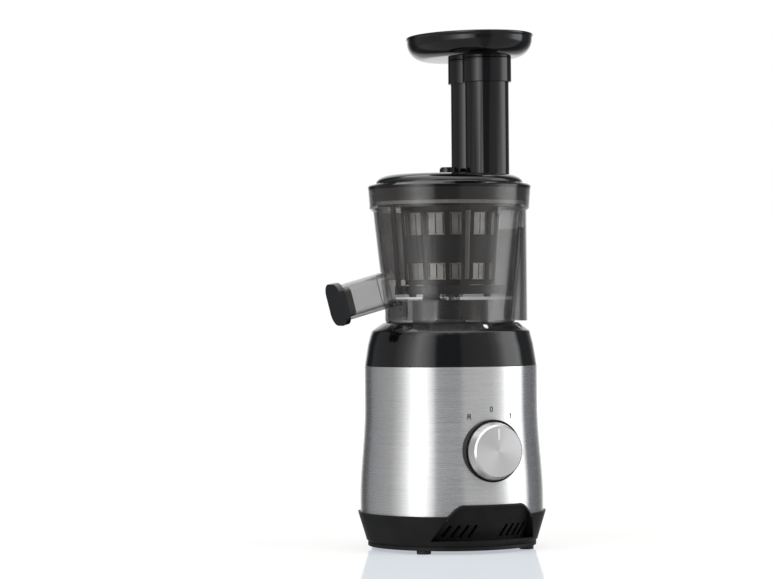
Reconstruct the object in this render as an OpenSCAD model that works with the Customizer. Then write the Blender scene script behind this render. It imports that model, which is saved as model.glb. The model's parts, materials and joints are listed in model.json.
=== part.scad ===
// Cold press (slow) juicer on its motor base, with bowl, auger, strainer, lid and feed tray.
// Millimetres. The origin is on the auger's axis at table height, +Z is up, the knob faces -Y.

/* [Base] */
// Radius of the base shell at its upper lip
base_top_r = 77.5; // [76.8:0.1:80]
// Radius of the base shell near the table
base_low_r = 71; // [70.5:0.1:73]
// Height of the base shell's upper lip
base_top_z = 31; // [30:0.5:33]
// Height where the base shell's slanted wall starts
base_low_z = 9.5; // [8.5:0.5:11]
// Wall of the base shell
base_wall = 3; // [2.5:0.1:3.4]
// Height of the raised front arch above the lip
arch_rise = 9; // [6:0.5:12]
// Half width of the front arch's flat top
arch_top_x = 26.6; // [24:0.1:31]
// Half width of the front arch at the lip
arch_foot_x = 37.6; // [35:0.1:40]
// Thickness of the bottom cover
cover_t = 3; // [2.5:0.1:3.5]
// Radius of the bottom cover
cover_r = 69.4; // [68:0.1:70.4]
// Height of a rubber foot under the cover
foot_h = 3; // [2:0.1:4]
// Radius of a rubber foot
foot_r = 5.8; // [5:0.1:6.2]
// Sideways place of a foot from the axis
foot_x = 47; // [44:0.5:48]
// Front or back place of a foot from the axis
foot_y = 42; // [40:0.5:43]

/* [Motor housing] */
// Radius of the steel sleeve at its top
sleeve_top_r = 71.4; // [71:0.1:72]
// Radius of the steel sleeve at its foot
sleeve_low_r = 75.6; // [75:0.1:76]
// Sheet thickness of the steel sleeve
sleeve_t = 0.8; // [0.6:0.1:1]
// Height of the sleeve's upper edge
sleeve_top_z = 150.5; // [148:0.5:153]
// Wall of the inner chassis tube
chassis_wall = 2.4; // [2:0.1:3]
// Height of the collar over the sleeve
collar_h = 35.5; // [34:0.5:37]
// Radius of the collar at its foot
collar_low_r = 71; // [70.6:0.1:71.4]
// Radius of the collar at its shoulder
collar_shoulder_r = 65.3; // [64.5:0.1:66]
// Radius of the collar's flat top
collar_top_r = 55.5; // [55.2:0.1:57]
// Depth of the chamfer round the collar's top
collar_chamfer = 7; // [6:0.1:8]
// Wall of the collar
collar_wall = 2.6; // [2.2:0.1:3]

/* [Knob] */
// Height of the knob's axis
knob_z = 83; // [80:0.5:86]
// Radius of the knob's skirt
knob_r = 23.6; // [22:0.1:23.8]
// How far the knob's face stands out from the sleeve
knob_proud = 11; // [9:0.5:13]
// Radius of the bezel ring
bezel_r = 25.2; // [24.8:0.1:27]
// How far the bezel stands out from the sleeve
bezel_proud = 2; // [1.6:0.1:3]
// Radius of the switch spindle
spindle_r = 3; // [2.5:0.1:3.5]
// Height of the dial's figures
figure_h = 4.3; // [3:0.1:5]
// Radius at which the dial's figures stand
dial_r = 33.5; // [31:0.5:36]

/* [Drive] */
// Radius of the drive shaft
shaft_r = 6; // [5.5:0.1:6.4]
// Width of the drive hexagon across its corners
hex_d = 11.5; // [10:0.1:11.5]
// Tooth size of the reduction gears
tooth = 1; // [0.98:0.01:1.02]
// Face width of the first reduction gear
gear_face = 7; // [6:0.5:7.5]
// Tooth size of the wiper gears
wiper_tooth = 1.25; // [1.2:0.01:1.28]
// Face width of the wiper gears
wiper_face = 7; // [6:0.1:7.2]
// Radius of the motor's rotor
rotor_r = 21; // [18:0.5:22]
// Radius of the motor's stator
stator_r = 36; // [33:0.5:37]
// Height of the stator's steel pack
stator_h = 36; // [30:0.5:38]

/* [Bowl] */
// Radius of the bowl's wall at the foot
bowl_low_r = 54; // [53.5:0.1:55]
// Radius of the bowl's wall under the rim
bowl_high_r = 63.2; // [62.8:0.1:63.6]
// Wall of the bowl
bowl_wall = 2.3; // [2:0.1:2.6]
// Height of the bowl from its foot to the rim
bowl_h = 110; // [109:0.5:112]
// Height of the bowl's floor over the foot
floor_h = 21; // [20.6:0.1:21.2]
// Radius of the rim band
rim_r = 67.1; // [66.8:0.1:67.4]
// Radius of the straight wall at the right-hand side
side_r = 63.7; // [62:0.1:64.5]
// Slope of the juice spout
spout_slope = 15; // [14:0.5:18]
// Width of the juice spout
spout_w = 22; // [20:0.5:25]
// Height of the juice spout's section
spout_h = 29; // [27:0.5:31]
// Reach of the juice spout from the axis
spout_reach = 99.5; // [94:0.5:104]
// Thickness of the spout cap's flange
cap_t = 5; // [4.5:0.5:7]
// Overhang of the spout cap round the spout
cap_over = 3; // [2.5:0.5:4]
// Width of the pulp outlet
pulp_w = 26; // [24:0.5:28]
// Reach of the pulp outlet from the axis
pulp_reach = 86; // [78:0.5:90]

/* [Strainer and auger] */
// Radius of the strainer at its foot
strainer_low_r = 37; // [36.6:0.1:37.4]
// Radius of the strainer at its top
strainer_high_r = 41; // [40.5:0.1:41.5]
// Wall of the strainer's frame
strainer_wall = 2.4; // [2:0.1:2.6]
// Thickness of the strainer's steel screen
screen_t = 0.5; // [0.4:0.1:0.6]
// Gap between the auger's flight and the screen
flight_gap = 0.9; // [0.6:0.1:1.5]
// Radius of the auger's core at its foot
core_low_r = 21; // [19:0.5:23]
// Radius of the auger's core at its top
core_high_r = 11; // [9.5:0.5:13]
// Turns of one auger flight
flight_turns = 1.6; // [1.2:0.1:2]

/* [Lid and tray] */
// Radius of the lid's flange
lid_r = 67.3; // [67:0.1:67.8]
// Radius of the lid's dome
dome_r = 60.6; // [59.5:0.1:61.5]
// Height of the lid over the rim
lid_h = 12; // [11:0.5:13]
// Wall of the lid and the feed tube
lid_wall = 2.4; // [2.2:0.1:2.8]
// Distance of the feed tube's lobes from the bowl's axis along X
tube_x = 29.1; // [28.8:0.1:29.4]
// Half distance between the feed tube's two lobes
tube_lobe_y = 13.1; // [12.5:0.1:13.6]
// Outer radius of a lobe of the feed tube
tube_r = 18; // [17.5:0.1:18.4]
// Height of the feed tube over the lid
tube_h = 96; // [80:0.5:110]
// Length of the tray across the tube
tray_x = 97; // [92:0.5:104]
// Length of the tray along Y
tray_y = 132; // [124:0.5:140]
// Depth of the tray
tray_h = 19; // [17:0.5:22]
// Wall of the tray
tray_wall = 2.2; // [1.8:0.1:2.6]
// Depth of the tray's sleeve over the feed tube
tray_sleeve_h = 20; // [14:0.5:24]

/* [Hidden] */
$fn = 96;
EPS = 0.01;
RUN = 0.08; // radial clearance of a shaft in its bush
FREE = 0.4; // gap between soft or curved faces of pieces that move
SEAT = 0.3; // gap between a cover and the seat that it lifts off

// heights of the base
cover_z = foot_h;
shell_z = cover_z + cover_t;
ledge_z = base_top_z - 3;
ledge_t = 3;
ledge_r = 60;
// heights of the housing
collar_z = sleeve_top_z + collar_h;
shoulder_z = collar_z - collar_chamfer;
waist_z = sleeve_top_z + 17.5;
waist_r = collar_low_r - 2.8;
flare_low_z = 41;
flare_high_z = 118;
chassis_r = sleeve_top_r - sleeve_t - 0.8;
chassis_in = chassis_r - chassis_wall;
// the collar's well, where the bowl's hub ring stands
well_r = 33;
well_z = collar_z - 10;
// gearbox
box_z = 104;
box_floor = 3;
box_h = 27;
box_r = chassis_in - SEAT;
motor_y = 6;
pinion_n = 12;
first_n = 48;
last_n = 60;
layshaft_y = motor_y + tooth * (pinion_n + first_n) / 2;
first_z = box_z + box_floor + 3;
last_z = first_z + gear_face + 4;
axle_r = 3;
tower_r = 12.8;
tower_z = collar_z + 2;
bush_r = 9;
motor_shaft_r = 4;
bearing_r = motor_shaft_r + 4;
stator_z = 54;
motor_low_z = 38;
screw_ring_r = 40;
motor_screw_a = [45:90:315];
box_screws = [20:90:290];
box_screw_ring_r = box_r - 5;
box_screw_r = 1.5;
// knob
sleeve_at_knob = sleeve_r(knob_z);
knob_face_y = sleeve_at_knob + knob_proud;
bezel_face_y = sleeve_at_knob + bezel_proud;
bezel_back_y = sleeve_at_knob - 5.8;
bezel_floor_y = bezel_face_y - 2.5;
pad_back_y = chassis_in - 7;
pad_r = 19;
switch_neck_r = 4.6;
switch_back_y = 44;
front_far = 95;
front_near = 40;
// bowl
bowl_z = collar_z;
rim_z = bowl_z + bowl_h;
floor_z = bowl_z + floor_h;
floor_t = 2.5;
cone_z = bowl_z + 9;
neck_z = rim_z - 19;
band_z = rim_z - 14;
band_r = rim_r - 1;
hub_in = shaft_r + 2.2;
hub_out = hub_in + 2.6;
hub_top = floor_z + 17;
hub_ring_r = well_r - 1.5;
// wiper gear layer
ring_n = 64;
auger_n = 24;
idler_n = 20;
layer_z = floor_z + 2.5;
idler_arm = wiper_tooth * (auger_n + idler_n) / 2;
idler_a = 230;
idler_x = idler_arm * cos(idler_a);
idler_y = idler_arm * sin(idler_a);
ring_out = wiper_tooth * ring_n / 2 + 5.5;
// strainer
plate_z = layer_z + wiper_face + 0.7;
plate_t = 2.5;
strainer_z = plate_z + plate_t;
strainer_top = rim_z - 4;
plate_hole = 17.5;
port_arm = 27.5;
port_r = 8.2;
mid_low_z = strainer_z + 15;
mid_high_z = strainer_z + 38;
high_low_z = strainer_top - 16;
// auger
auger_hub_r = plate_hole - 0.7;
flight_low_z = strainer_z + 3.5;
flight_high_z = strainer_top - 12;
pin_r = 4.2;
pin_top = rim_z + 8;
hex_z = hub_top + 2;
hex_top = hex_z + 18;
// wiper
wiper_in = 44.5;
post_t = 3;
post_w = 6.3;
post_lean = 2.5;
post_a = -101;
post_z = layer_z + wiper_face;
wiper_top = strainer_top - 8;
blade_t = 1.2;
// pulp duct
duct_low = bowl_z + 1.5;
duct_high = floor_z - floor_t;
duct_h = duct_high - duct_low + 1;
duct_wall = 2.4;
duct_back_y = hub_out + 4;
// lid
lid_top = rim_z + lid_h;
skirt_r = rim_r - bowl_wall - 1.9;
seal_z = band_z + 0.5;
seal_h = 3;
tab_h = 2.8;
boss_r = 7.8;
dome_w = 16;
tube_foot = 1;
tray_z = lid_top + tube_h;
tray_cx = tube_x - 9.6;
tray_top = tray_z + tray_h;
// the spout leaves the wall at spout_root_z, with a thicker root
spout_root_z = floor_z + 7.5;
spout_end_z = spout_root_z - (spout_reach - bowl_low_r) * tan(spout_slope);
spout_back = (spout_reach - bowl_low_r + 0.8) / cos(spout_slope);
spout_root_l = 7;
pulp_joint_y = bowl_low_r + 3;

function smooth(t) = let (u = min(1, max(0, t))) u * u * (3 - 2 * u);
function sleeve_r(z) = sleeve_low_r + (sleeve_top_r - sleeve_low_r)
    * smooth((z - flare_low_z) / (flare_high_z - flare_low_z));
function bowl_r(z) = bowl_low_r + (bowl_high_r - bowl_low_r) * max(0, z - cone_z) / (neck_z - cone_z);
function strainer_r(z) = strainer_low_r
    + (strainer_high_r - strainer_low_r) * (z - strainer_z) / (strainer_top - strainer_z);
function post_r(z) = ring_out - post_t
    + (wiper_in + post_lean - ring_out + post_t) * (z - post_z) / (wiper_top - post_z);
function polar(r, a) = [r * cos(a), r * sin(a)];
function arc(cx, cy, rx, ry, a0, a1, n) =
    [for (i = [0:n]) let (a = a0 + (a1 - a0) * i / n) [cx + rx * cos(a), cy + ry * sin(a)]];

// involute gear outline, with a tooth centred on angle 0
PRESSURE = 20;
function inv(a) = tan(a) * 180 / PI - a;
function half_tooth(r, rp, n, slack) = 90 / n - slack / (2 * rp) * 180 / PI + inv(PRESSURE)
    - inv(acos(min(1, rp * cos(PRESSURE) / r)));
function gear_outline(n, m, add, ded, slack) =
    let (rp = n * m / 2, rb = rp * cos(PRESSURE), tip = rp + add, root = rp - ded,
        r0 = max(rb, root), foot = root < rb ? -1.5 : 0.1, steps = 4)
    [for (k = [0:n - 1]) let (c = 360 * k / n, wide = half_tooth(r0, rp, n, slack) + foot)
        each concat([polar(root, c - wide)],
            [for (i = [0:steps]) let (r = r0 + (tip - r0) * i / steps)
                polar(r, c - half_tooth(r, rp, n, slack))],
            [for (i = [steps:-1:0]) let (r = r0 + (tip - r0) * i / steps)
                polar(r, c + half_tooth(r, rp, n, slack))],
            [polar(root, c + wide)])];

// faces of a skin over rings of the same count of points, open or closed round the rings
function skin_faces(rings, count, capped) = concat(
    [for (i = [0:rings - 2], j = [0:count - 1]) let (a = i * count + j, b = i * count + (j + 1) % count)
        each [[a, b, b + count], [a, b + count, a + count]]],
    capped ? [[for (j = [count - 1:-1:0]) j], [for (j = [0:count - 1]) (rings - 1) * count + j]] : []);

module ring(r_out, r_in, z0, z1) {
    rotate_extrude() translate([r_in, z0]) square([r_out - r_in, z1 - z0]);
}

module along_front(y0, y1, x = 0, z = 0) {
    // a child drawn in X and Z, with its face at y0, extruded back to y1 (distances in front of the axis)
    translate([x, -y1, z]) rotate([90, 0, 0]) linear_extrude(y0 - y1) children();
}

module through_front(z = 0) {
    // the same, right through the front wall
    along_front(front_far, front_near, 0, z) children();
}

module rounded(w, h, r) {
    square([w - 2 * r, h], center = true);
    square([w, h - 2 * r], center = true);
    for (x = [-1, 1], y = [-1, 1]) translate([x * (w / 2 - r), y * (h / 2 - r)]) circle(r);
}

// ---------------------------------------------------------------- base

// right-hand flank of an arch, from its flat top down to its foot
function flank(top_x, foot_x, top, foot) = [for (i = [0:8]) let (t = i / 8)
    [top_x + (foot_x - top_x) * t, top - (top - foot) * t * sqrt(t)]];
function mirrored(points) = concat(points, [for (i = [len(points) - 1:-1:0]) [-points[i][0], points[i][1]]]);

// front view of the raised arch
module arch_outline(grow) {
    polygon(mirrored(concat(
        flank(arch_top_x + grow, arch_foot_x + grow, base_top_z + arch_rise + grow, base_top_z),
        [[arch_foot_x + grow, 0]])));
}

scoop_margin = 1.4;
scoop_low_z = base_low_z + 1;
scoop_high_z = base_top_z + arch_rise - scoop_margin;
scoop_low_r = base_low_r - 9.5;
scoop_high_r = base_top_r - 1.2;
scoop_mid_x = arch_foot_x + 2;
scoop_low_x = arch_foot_x + 9.4;
screw_angles = [-8, 68, 112, 188];
post_ring_r = 61.4;
screw_post_r = 4;
screw_r = 1.8;
screw_l = 12;
foot_stem_r = 3;
gland_y = base_low_r - 9;
gland_z = 17;
gland_r = 6.5;
gland_l = 16;
cord_r = 3.4;

function scoop_r(z) = scoop_low_r
    + (scoop_high_r - scoop_low_r) * (z - scoop_low_z) / (scoop_high_z - scoop_low_z);

module scoop(back, grow) {
    // the bay under the arch: its back wall is a cone that leans inwards from the top of the arch
    low = scoop_low_z - grow;
    top = scoop_high_z + grow;
    intersection() {
        rotate_extrude() polygon([[scoop_r(low) - back, low], [front_far, low], [front_far, top],
            [scoop_r(top) - back, top]]);
        along_front(front_far, front_near / 2) polygon(mirrored(concat(
            flank(arch_top_x - scoop_margin / 2 + grow, arch_foot_x - scoop_margin + grow, top, base_top_z),
            [[scoop_mid_x + grow, ledge_z - 0.5], [scoop_low_x + grow, low]])));
    }
}

vent_n = 4;
vent_w = 2.6;
vent_h = 11;
vent_pitch = 6.6;
vent_first_x = 14;
vent_z = 18.5;
vent_lean = 24;

module vents() {
    for (side = [-1, 1], i = [0:vent_n - 1]) translate([side * (vent_first_x + vent_pitch * i), 0, vent_z])
        rotate([0, vent_lean, 0]) translate([0, -65, 0]) cube([vent_w, 30, vent_h], center = true);
}

module base_shell() color("#1b1b1d") {
    lip_in = sleeve_r(base_top_z) + 0.3;
    inner_top = base_top_r - base_wall;
    difference() {
        union() {
            rotate_extrude() polygon([[cover_r - base_wall, shell_z], [cover_r - 0.6, shell_z],
                [base_low_r - 0.4, base_low_z - 1.6], [base_low_r, base_low_z], [base_top_r, base_top_z],
                [lip_in, base_top_z], [lip_in, ledge_z], [ledge_r, ledge_z], [ledge_r, ledge_z - ledge_t],
                [inner_top - 2, ledge_z - ledge_t], [base_low_r - base_wall, base_low_z]]);
            // the arch's front wall stands on the lip, in front of the sleeve
            intersection() {
                ring(base_top_r, lip_in, ledge_z, base_top_z + arch_rise + 1);
                through_front() arch_outline(0);
            }
            // the leaning wall behind the bay
            intersection() {
                scoop(base_wall, scoop_margin);
                rotate_extrude() polygon([[0, shell_z], [base_low_r - 0.4, base_low_z - 1.6],
                    [base_low_r, base_low_z], [base_top_r, base_top_z],
                    [base_top_r, base_top_z + arch_rise], [0, base_top_z + arch_rise]]);
                along_front(front_far, front_near / 2) {
                    arch_outline(0);
                    translate([-front_far, 0]) square([2 * front_far, ledge_z]);
                }
            }
            for (a = screw_angles) rotate(a) translate([post_ring_r, 0, shell_z])
                cylinder(r = screw_post_r, h = ledge_z - shell_z - EPS);
        }
        scoop(0, 0);
        vents();
        translate([0, gland_y - 1, gland_z]) rotate([-90, 0, 0]) cylinder(r = gland_r, h = 2 * gland_l);
        for (a = screw_angles) rotate(a) translate([post_ring_r, 0, shell_z - 1])
            cylinder(r = screw_r, h = screw_l);
    }
}

module bottom_cover() color("#232325") difference() {
    translate([0, 0, cover_z]) cylinder(r = cover_r, h = cover_t);
    for (x = [-1, 1], y = [-1, 1]) translate([x * foot_x, y * foot_y, cover_z - 1])
        cylinder(r = foot_stem_r, h = 3);
    for (a = screw_angles) rotate(a) translate([post_ring_r, 0, cover_z - 1]) {
        cylinder(r = screw_r + 0.2, h = 10);
        cylinder(r = 2 * screw_r, h = 2.4);
    }
    // intake slots under the fan
    for (i = [-3:3]) translate([i * 8, 0, cover_z]) cube([3, 44 - 5 * abs(i), 20], center = true);
}

module rubber_feet() color("#101011") for (x = [-1, 1], y = [-1, 1])
    translate([x * foot_x, y * foot_y, 0]) {
        cylinder(r = foot_r, h = foot_h);
        translate([0, 0, foot_h - EPS]) cylinder(r = foot_stem_r, h = 2 + EPS);
    }

screw_head_r = 3.3;
screw_head_z = 0.4;
screw_head_t = 1;

module cover_screws() color("#8d8f92") for (a = screw_angles) rotate(a)
    translate([post_ring_r, 0, cover_z + screw_head_z]) {
        difference() {
            cylinder(r = screw_head_r, h = screw_head_t);
            // the cross slot
            for (turn = [0, 90]) rotate(turn) translate([0, 0, -0.1])
                cube([4, 0.8, screw_head_t], center = true);
        }
        translate([0, 0, screw_head_t - EPS]) cylinder(r = screw_r, h = screw_l - 1);
    }

module cord_gland() color("#141415") difference() {
    flange_t = 2;
    translate([0, gland_y, gland_z]) rotate([-90, 0, 0]) {
        cylinder(r = gland_r, h = gland_l);
        for (y = [0, gland_l - flange_t]) translate([0, 0, y]) cylinder(r = gland_r + 1, h = flange_t);
    }
    translate([0, gland_y - 1, gland_z]) rotate([-90, 0, 0]) cylinder(r = cord_r, h = 2 * gland_l);
}

// ---------------------------------------------------------------- housing

// the sleeve's outer line from its foot to its top
sleeve_steps = 14;
sleeve_line = concat([[sleeve_low_r, ledge_z]],
    [for (i = [0:sleeve_steps]) let (z = flare_low_z + (flare_high_z - flare_low_z) * i / sleeve_steps)
        [sleeve_r(z), z]], [[sleeve_top_r, sleeve_top_z]]);

module sleeve_skin(r0, r1) {
    // a turned skin along the sleeve's line, from r0 to r1 beyond it
    last = len(sleeve_line) - 1;
    rotate_extrude() polygon(concat([[sleeve_line[0][0] + r0, sleeve_line[0][1]]],
        [for (p = sleeve_line) [p[0] + r1, p[1]]],
        [for (i = [last:-1:1]) [sleeve_line[i][0] + r0, sleeve_line[i][1]]]));
}

module steel_sleeve() color("#b9bbbd") difference() {
    sleeve_skin(-sleeve_t, 0);
    through_front() arch_outline(0.2);
    through_front(knob_z) circle(bezel_r);
}

module chassis() color("#2c2d30") difference() {
    union() {
        ring(chassis_r, chassis_in, ledge_z, sleeve_top_z);
        // flanges that carry the sleeve at its foot and at its top
        difference() {
            ring(sleeve_low_r - sleeve_t - 0.1, chassis_in, ledge_z, ledge_z + 3);
            through_front() arch_outline(1);
        }
        ring(sleeve_top_r - sleeve_t, chassis_in, sleeve_top_z - 10, sleeve_top_z);
        // the ledge under the gearbox
        ring(chassis_in + 1, chassis_in - 4, box_z - 4, box_z);
        // the pad behind the knob
        along_front(bezel_back_y, pad_back_y, 0, knob_z) circle(pad_r);
    }
    scoop(base_wall + FREE, scoop_margin + FREE);
    along_front(front_far, bezel_back_y, 0, knob_z) circle(bezel_r);
    through_front(knob_z) circle(switch_neck_r);
    along_front(pad_back_y, front_near, 0, knob_z) circle(pad_r + 2.5);
    // slots for the cooling air
    for (a = [-60:30:240]) rotate(a) translate([chassis_in, 0, 40]) cube([12, 9, 12], center = true);
}

lug_angles = [30, 150, 270];
pocket_w = 11;
pocket_h = 8;
pocket_d = 4;

module collar() color("#0c0c0d") difference() {
    union() {
        rotate_extrude() polygon([[collar_low_r, sleeve_top_z], [waist_r, waist_z],
            [collar_shoulder_r, shoulder_z], [collar_top_r, collar_z], [well_r, collar_z], [well_r, well_z],
            [tower_r + FREE, well_z], [tower_r + FREE, well_z - collar_wall],
            [well_r + collar_wall, well_z - collar_wall], [well_r + collar_wall, collar_z - collar_wall],
            [collar_top_r - 1, collar_z - collar_wall], [collar_shoulder_r - collar_wall, shoulder_z - 0.5],
            [waist_r - collar_wall, waist_z], [collar_low_r - 4.5, sleeve_top_z]]);
        // pockets for the bowl's lugs
        for (a = lug_angles) rotate(a)
            translate([well_r + 0.1, -pocket_w / 2 - 2.5, collar_z - pocket_h - 3])
                cube([pocket_d + 3, pocket_w + 5, pocket_h + 3 - EPS]);
    }
    for (a = lug_angles) rotate(a) translate([well_r - pocket_d, -pocket_w / 2, collar_z - pocket_h])
        cube([2 * pocket_d, pocket_w, pocket_h + 1]);
    translate([0, 0, well_z - 20]) cylinder(r = tower_r + FREE, h = 40);
}

mark_t = 0.12;
padlock_a = -88.4;
padlock_r = 59.4;
lock_line_a = -50;
lock_line_r = 60.4;

module lock_marks() color("white") intersection() {
    // a thin skin on the chamfer
    rotate_extrude() polygon([[collar_shoulder_r, shoulder_z],
        [collar_shoulder_r + mark_t, shoulder_z + mark_t],
        [collar_top_r + mark_t, collar_z + mark_t], [collar_top_r, collar_z]]);
    translate([0, 0, shoulder_z - 2]) linear_extrude(20) {
        rotate(padlock_a) translate([padlock_r, 0]) {
            square([2.6, 3.4], center = true);
            translate([1.2, 0]) difference() {
                circle(1.4);
                circle(0.8);
                translate([-2, 0]) square([2.4, 4], center = true);
            }
        }
        rotate(lock_line_a) translate([lock_line_r, 0]) square([4.4, 1], center = true);
    }
}

module knob_bezel() color("#0c0c0d") difference() {
    along_front(bezel_face_y, bezel_back_y, 0, knob_z) circle(bezel_r);
    along_front(bezel_face_y + 1, bezel_floor_y, 0, knob_z) circle(knob_r + 0.5);
    through_front(knob_z) circle(8);
}

module figure_r(h, s) {
    translate([-h * 0.32, -h / 2]) square([s, h]);
    translate([0, h * 0.24]) difference() {
        union() {
            circle(h * 0.26);
            translate([-h * 0.32, -h * 0.26]) square([h * 0.32, h * 0.52]);
        }
        circle(h * 0.26 - s);
        translate([-h * 0.32 + s, -h * 0.26 + s]) square([h * 0.32 - s, h * 0.52 - 2 * s]);
    }
    polygon([[-s * 0.3, 0], [s * 0.8, 0], [h * 0.32, -h / 2], [h * 0.32 - s * 1.1, -h / 2]]);
}

module figure_0(h, s) {
    difference() {
        rounded(h * 0.6, h, h * 0.29);
        rounded(h * 0.6 - 2 * s, h - 2 * s, h * 0.29 - s);
    }
}

module figure_1(h, s) {
    translate([-s / 2, -h / 2]) square([s, h]);
    polygon([[-s / 2, h / 2], [-s / 2, h / 2 - s * 1.3], [-h * 0.26, h / 2 - s * 1.9],
        [-h * 0.26, h / 2 - s]]);
}

dial_a = 34;

module dial_marks() color("#3a3a3c") intersection() {
    sleeve_skin(0, mark_t);
    through_front(knob_z) {
        s = figure_h * 0.17;
        rotate(dial_a) translate([0, dial_r]) rotate(-dial_a) scale([1.15, 1]) figure_r(figure_h, s);
        translate([0, dial_r]) figure_0(figure_h, s);
        rotate(-dial_a) translate([0, dial_r]) rotate(dial_a) figure_1(figure_h, s);
    }
}

switch_side = 30;
switch_corner = 3;
tab_w = 5;
tab_t = 0.8;
tab_out = 8;

module rotary_switch() color("#e8e4da") difference() {
    union() {
        along_front(pad_back_y, switch_back_y, 0, knob_z) rounded(switch_side, switch_side, switch_corner);
        along_front(bezel_back_y, pad_back_y - EPS, 0, knob_z) circle(switch_neck_r);
        // the terminals
        for (x = [-9, 0, 9]) translate([x, -switch_back_y + 3, knob_z - 8])
            cube([tab_w, tab_out, tab_t], center = true);
    }
    along_front(front_far, switch_back_y + 3, 0, knob_z) circle(spindle_r + RUN);
}

capacitor_at = [46, -30];
can_r = 9;
can_h = 42;

module run_capacitor() color("#c9b27c") translate([capacitor_at[0], capacitor_at[1], ledge_z]) {
    difference() {
        cylinder(r = can_r, h = can_h);
        translate([0, 0, can_h - 1.5]) cylinder(r = can_r - 1.4, h = 5);
    }
    for (x = [-3.5, 3.5]) translate([x, 0, can_h + 1]) cube([tab_t, tab_w, 6], center = true);
}

block_at = [-46, 34];
block_turn = -36;
block_pitch = 8;
block_h = 16;

module terminal_block() color("#ded9c8") translate([block_at[0], block_at[1], ledge_z])
    rotate(block_turn) difference() {
        translate([-7, -13, 0]) cube([14, 26, block_h]);
        for (i = [-1:1]) translate([0, i * block_pitch, 6]) {
            cylinder(r = 2.4, h = block_h);
            translate([0, 0, 1]) rotate([0, 90, 0]) cylinder(r = 1.9, h = 30, center = true);
        }
    }

reed_x = 44;
reed_a = 150;
reed_t = 5;

module reed_switch() color("#35363a") rotate(reed_a)
    translate([reed_x, 0, collar_z - collar_wall - reed_t / 2]) difference() {
        cube([7, 20, reed_t], center = true);
        for (y = [-7, 7]) translate([0, y, 0]) cylinder(r = 1.2, h = 10, center = true);
    }

// ---------------------------------------------------------------- motor and gearbox

module at_motor() translate([0, motor_y, 0]) children();

module motor_stator() color("#8a8d90") at_motor() difference() {
    translate([0, 0, stator_z]) cylinder(r = stator_r, h = stator_h);
    translate([0, 0, stator_z - 1]) cylinder(r = rotor_r + 0.5, h = stator_h + 2);
    for (a = [0:60:300]) rotate(a) translate([rotor_r + 6.5, 0, stator_z + stator_h / 2])
        cube([9, 7, stator_h + 2], center = true);
}

module stator_coils() color("#b06a35") at_motor() {
    for (z = [stator_z - 8, stator_z + stator_h]) difference() {
        ring(stator_r - 4, rotor_r + 3, z, z + 8);
        for (a = [30:60:330]) rotate(a) translate([stator_r - 4, 0, z + 4]) cube([8, 2, 10], center = true);
    }
}

motor_screw_r = 2;
bracket_t = 2.5;
bearing_h = 6;
ear_t = 4;

module bracket_ears(z) {
    for (a = motor_screw_a) rotate(a) translate([screw_ring_r - 2.5, 0, z + ear_t / 2])
        cube([11, 9, ear_t], center = true);
}

module motor_bracket_low() color("#9fa2a5") at_motor() difference() {
    union() {
        ring(stator_r, stator_r - bracket_t, motor_low_z, stator_z);
        ring(stator_r, bearing_r, motor_low_z, motor_low_z + bracket_t);
        ring(bearing_r + bracket_t, bearing_r, motor_low_z, motor_low_z + bearing_h);
        bracket_ears(motor_low_z);
    }
    for (a = motor_screw_a) rotate(a) translate([screw_ring_r, 0, motor_low_z - 1])
        cylinder(r = motor_screw_r, h = 10);
    for (a = [0:60:300]) rotate(a) translate([22, 0, motor_low_z]) cylinder(r = 5, h = 10, center = true);
}

module motor_bracket_high() color("#9fa2a5") at_motor() difference() {
    top = box_z;
    union() {
        ring(stator_r, stator_r - bracket_t, stator_z + stator_h, top);
        ring(stator_r, bearing_r, top - bracket_t, top);
        ring(bearing_r + bracket_t, bearing_r, top - bearing_h, top);
        bracket_ears(top - ear_t);
    }
    for (a = motor_screw_a) rotate(a) translate([screw_ring_r, 0, top - 10])
        cylinder(r = motor_screw_r, h = 20);
}

module motor_bearings() color("#c79a4b") at_motor() {
    ring(bearing_r, motor_shaft_r + RUN, motor_low_z, motor_low_z + bearing_h);
    ring(bearing_r, motor_shaft_r + RUN, box_z - bearing_h, box_z);
}

module motor_screws() color("#77797c") at_motor() for (a = motor_screw_a) rotate(a)
    translate([screw_ring_r, 0, motor_low_z - 2.6]) {
        difference() {
            cylinder(r = 3.6, h = 2.6);
            translate([0, 0, -0.1]) cylinder(r = 1.6, h = 1.6, $fn = 6);
        }
        translate([0, 0, 2.6 - EPS]) cylinder(r = motor_screw_r, h = box_z - motor_low_z + box_floor);
    }

module gearbox_housing() color("#cfd2d4") difference() {
    union() {
        translate([0, 0, box_z]) cylinder(r = box_r, h = box_floor);
        ring(box_r, box_r - 3, box_z, box_z + box_h);
        translate([0, layshaft_y, box_z]) cylinder(r = axle_r + 2.5, h = first_z - box_z - SEAT);
        for (a = box_screws) rotate(a) translate([box_screw_ring_r, 0, box_z]) cylinder(r = 4, h = box_h);
    }
    at_motor() translate([0, 0, box_z - 1]) cylinder(r = bearing_r, h = 10);
    at_motor() for (a = motor_screw_a) rotate(a) translate([screw_ring_r, 0, box_z - 1])
        cylinder(r = motor_screw_r, h = 10);
    translate([0, layshaft_y, box_z - 1]) cylinder(r = axle_r, h = 20);
    for (a = box_screws) rotate(a) translate([box_screw_ring_r, 0, box_z + box_h - 10])
        cylinder(r = box_screw_r, h = 20);
}

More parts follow.
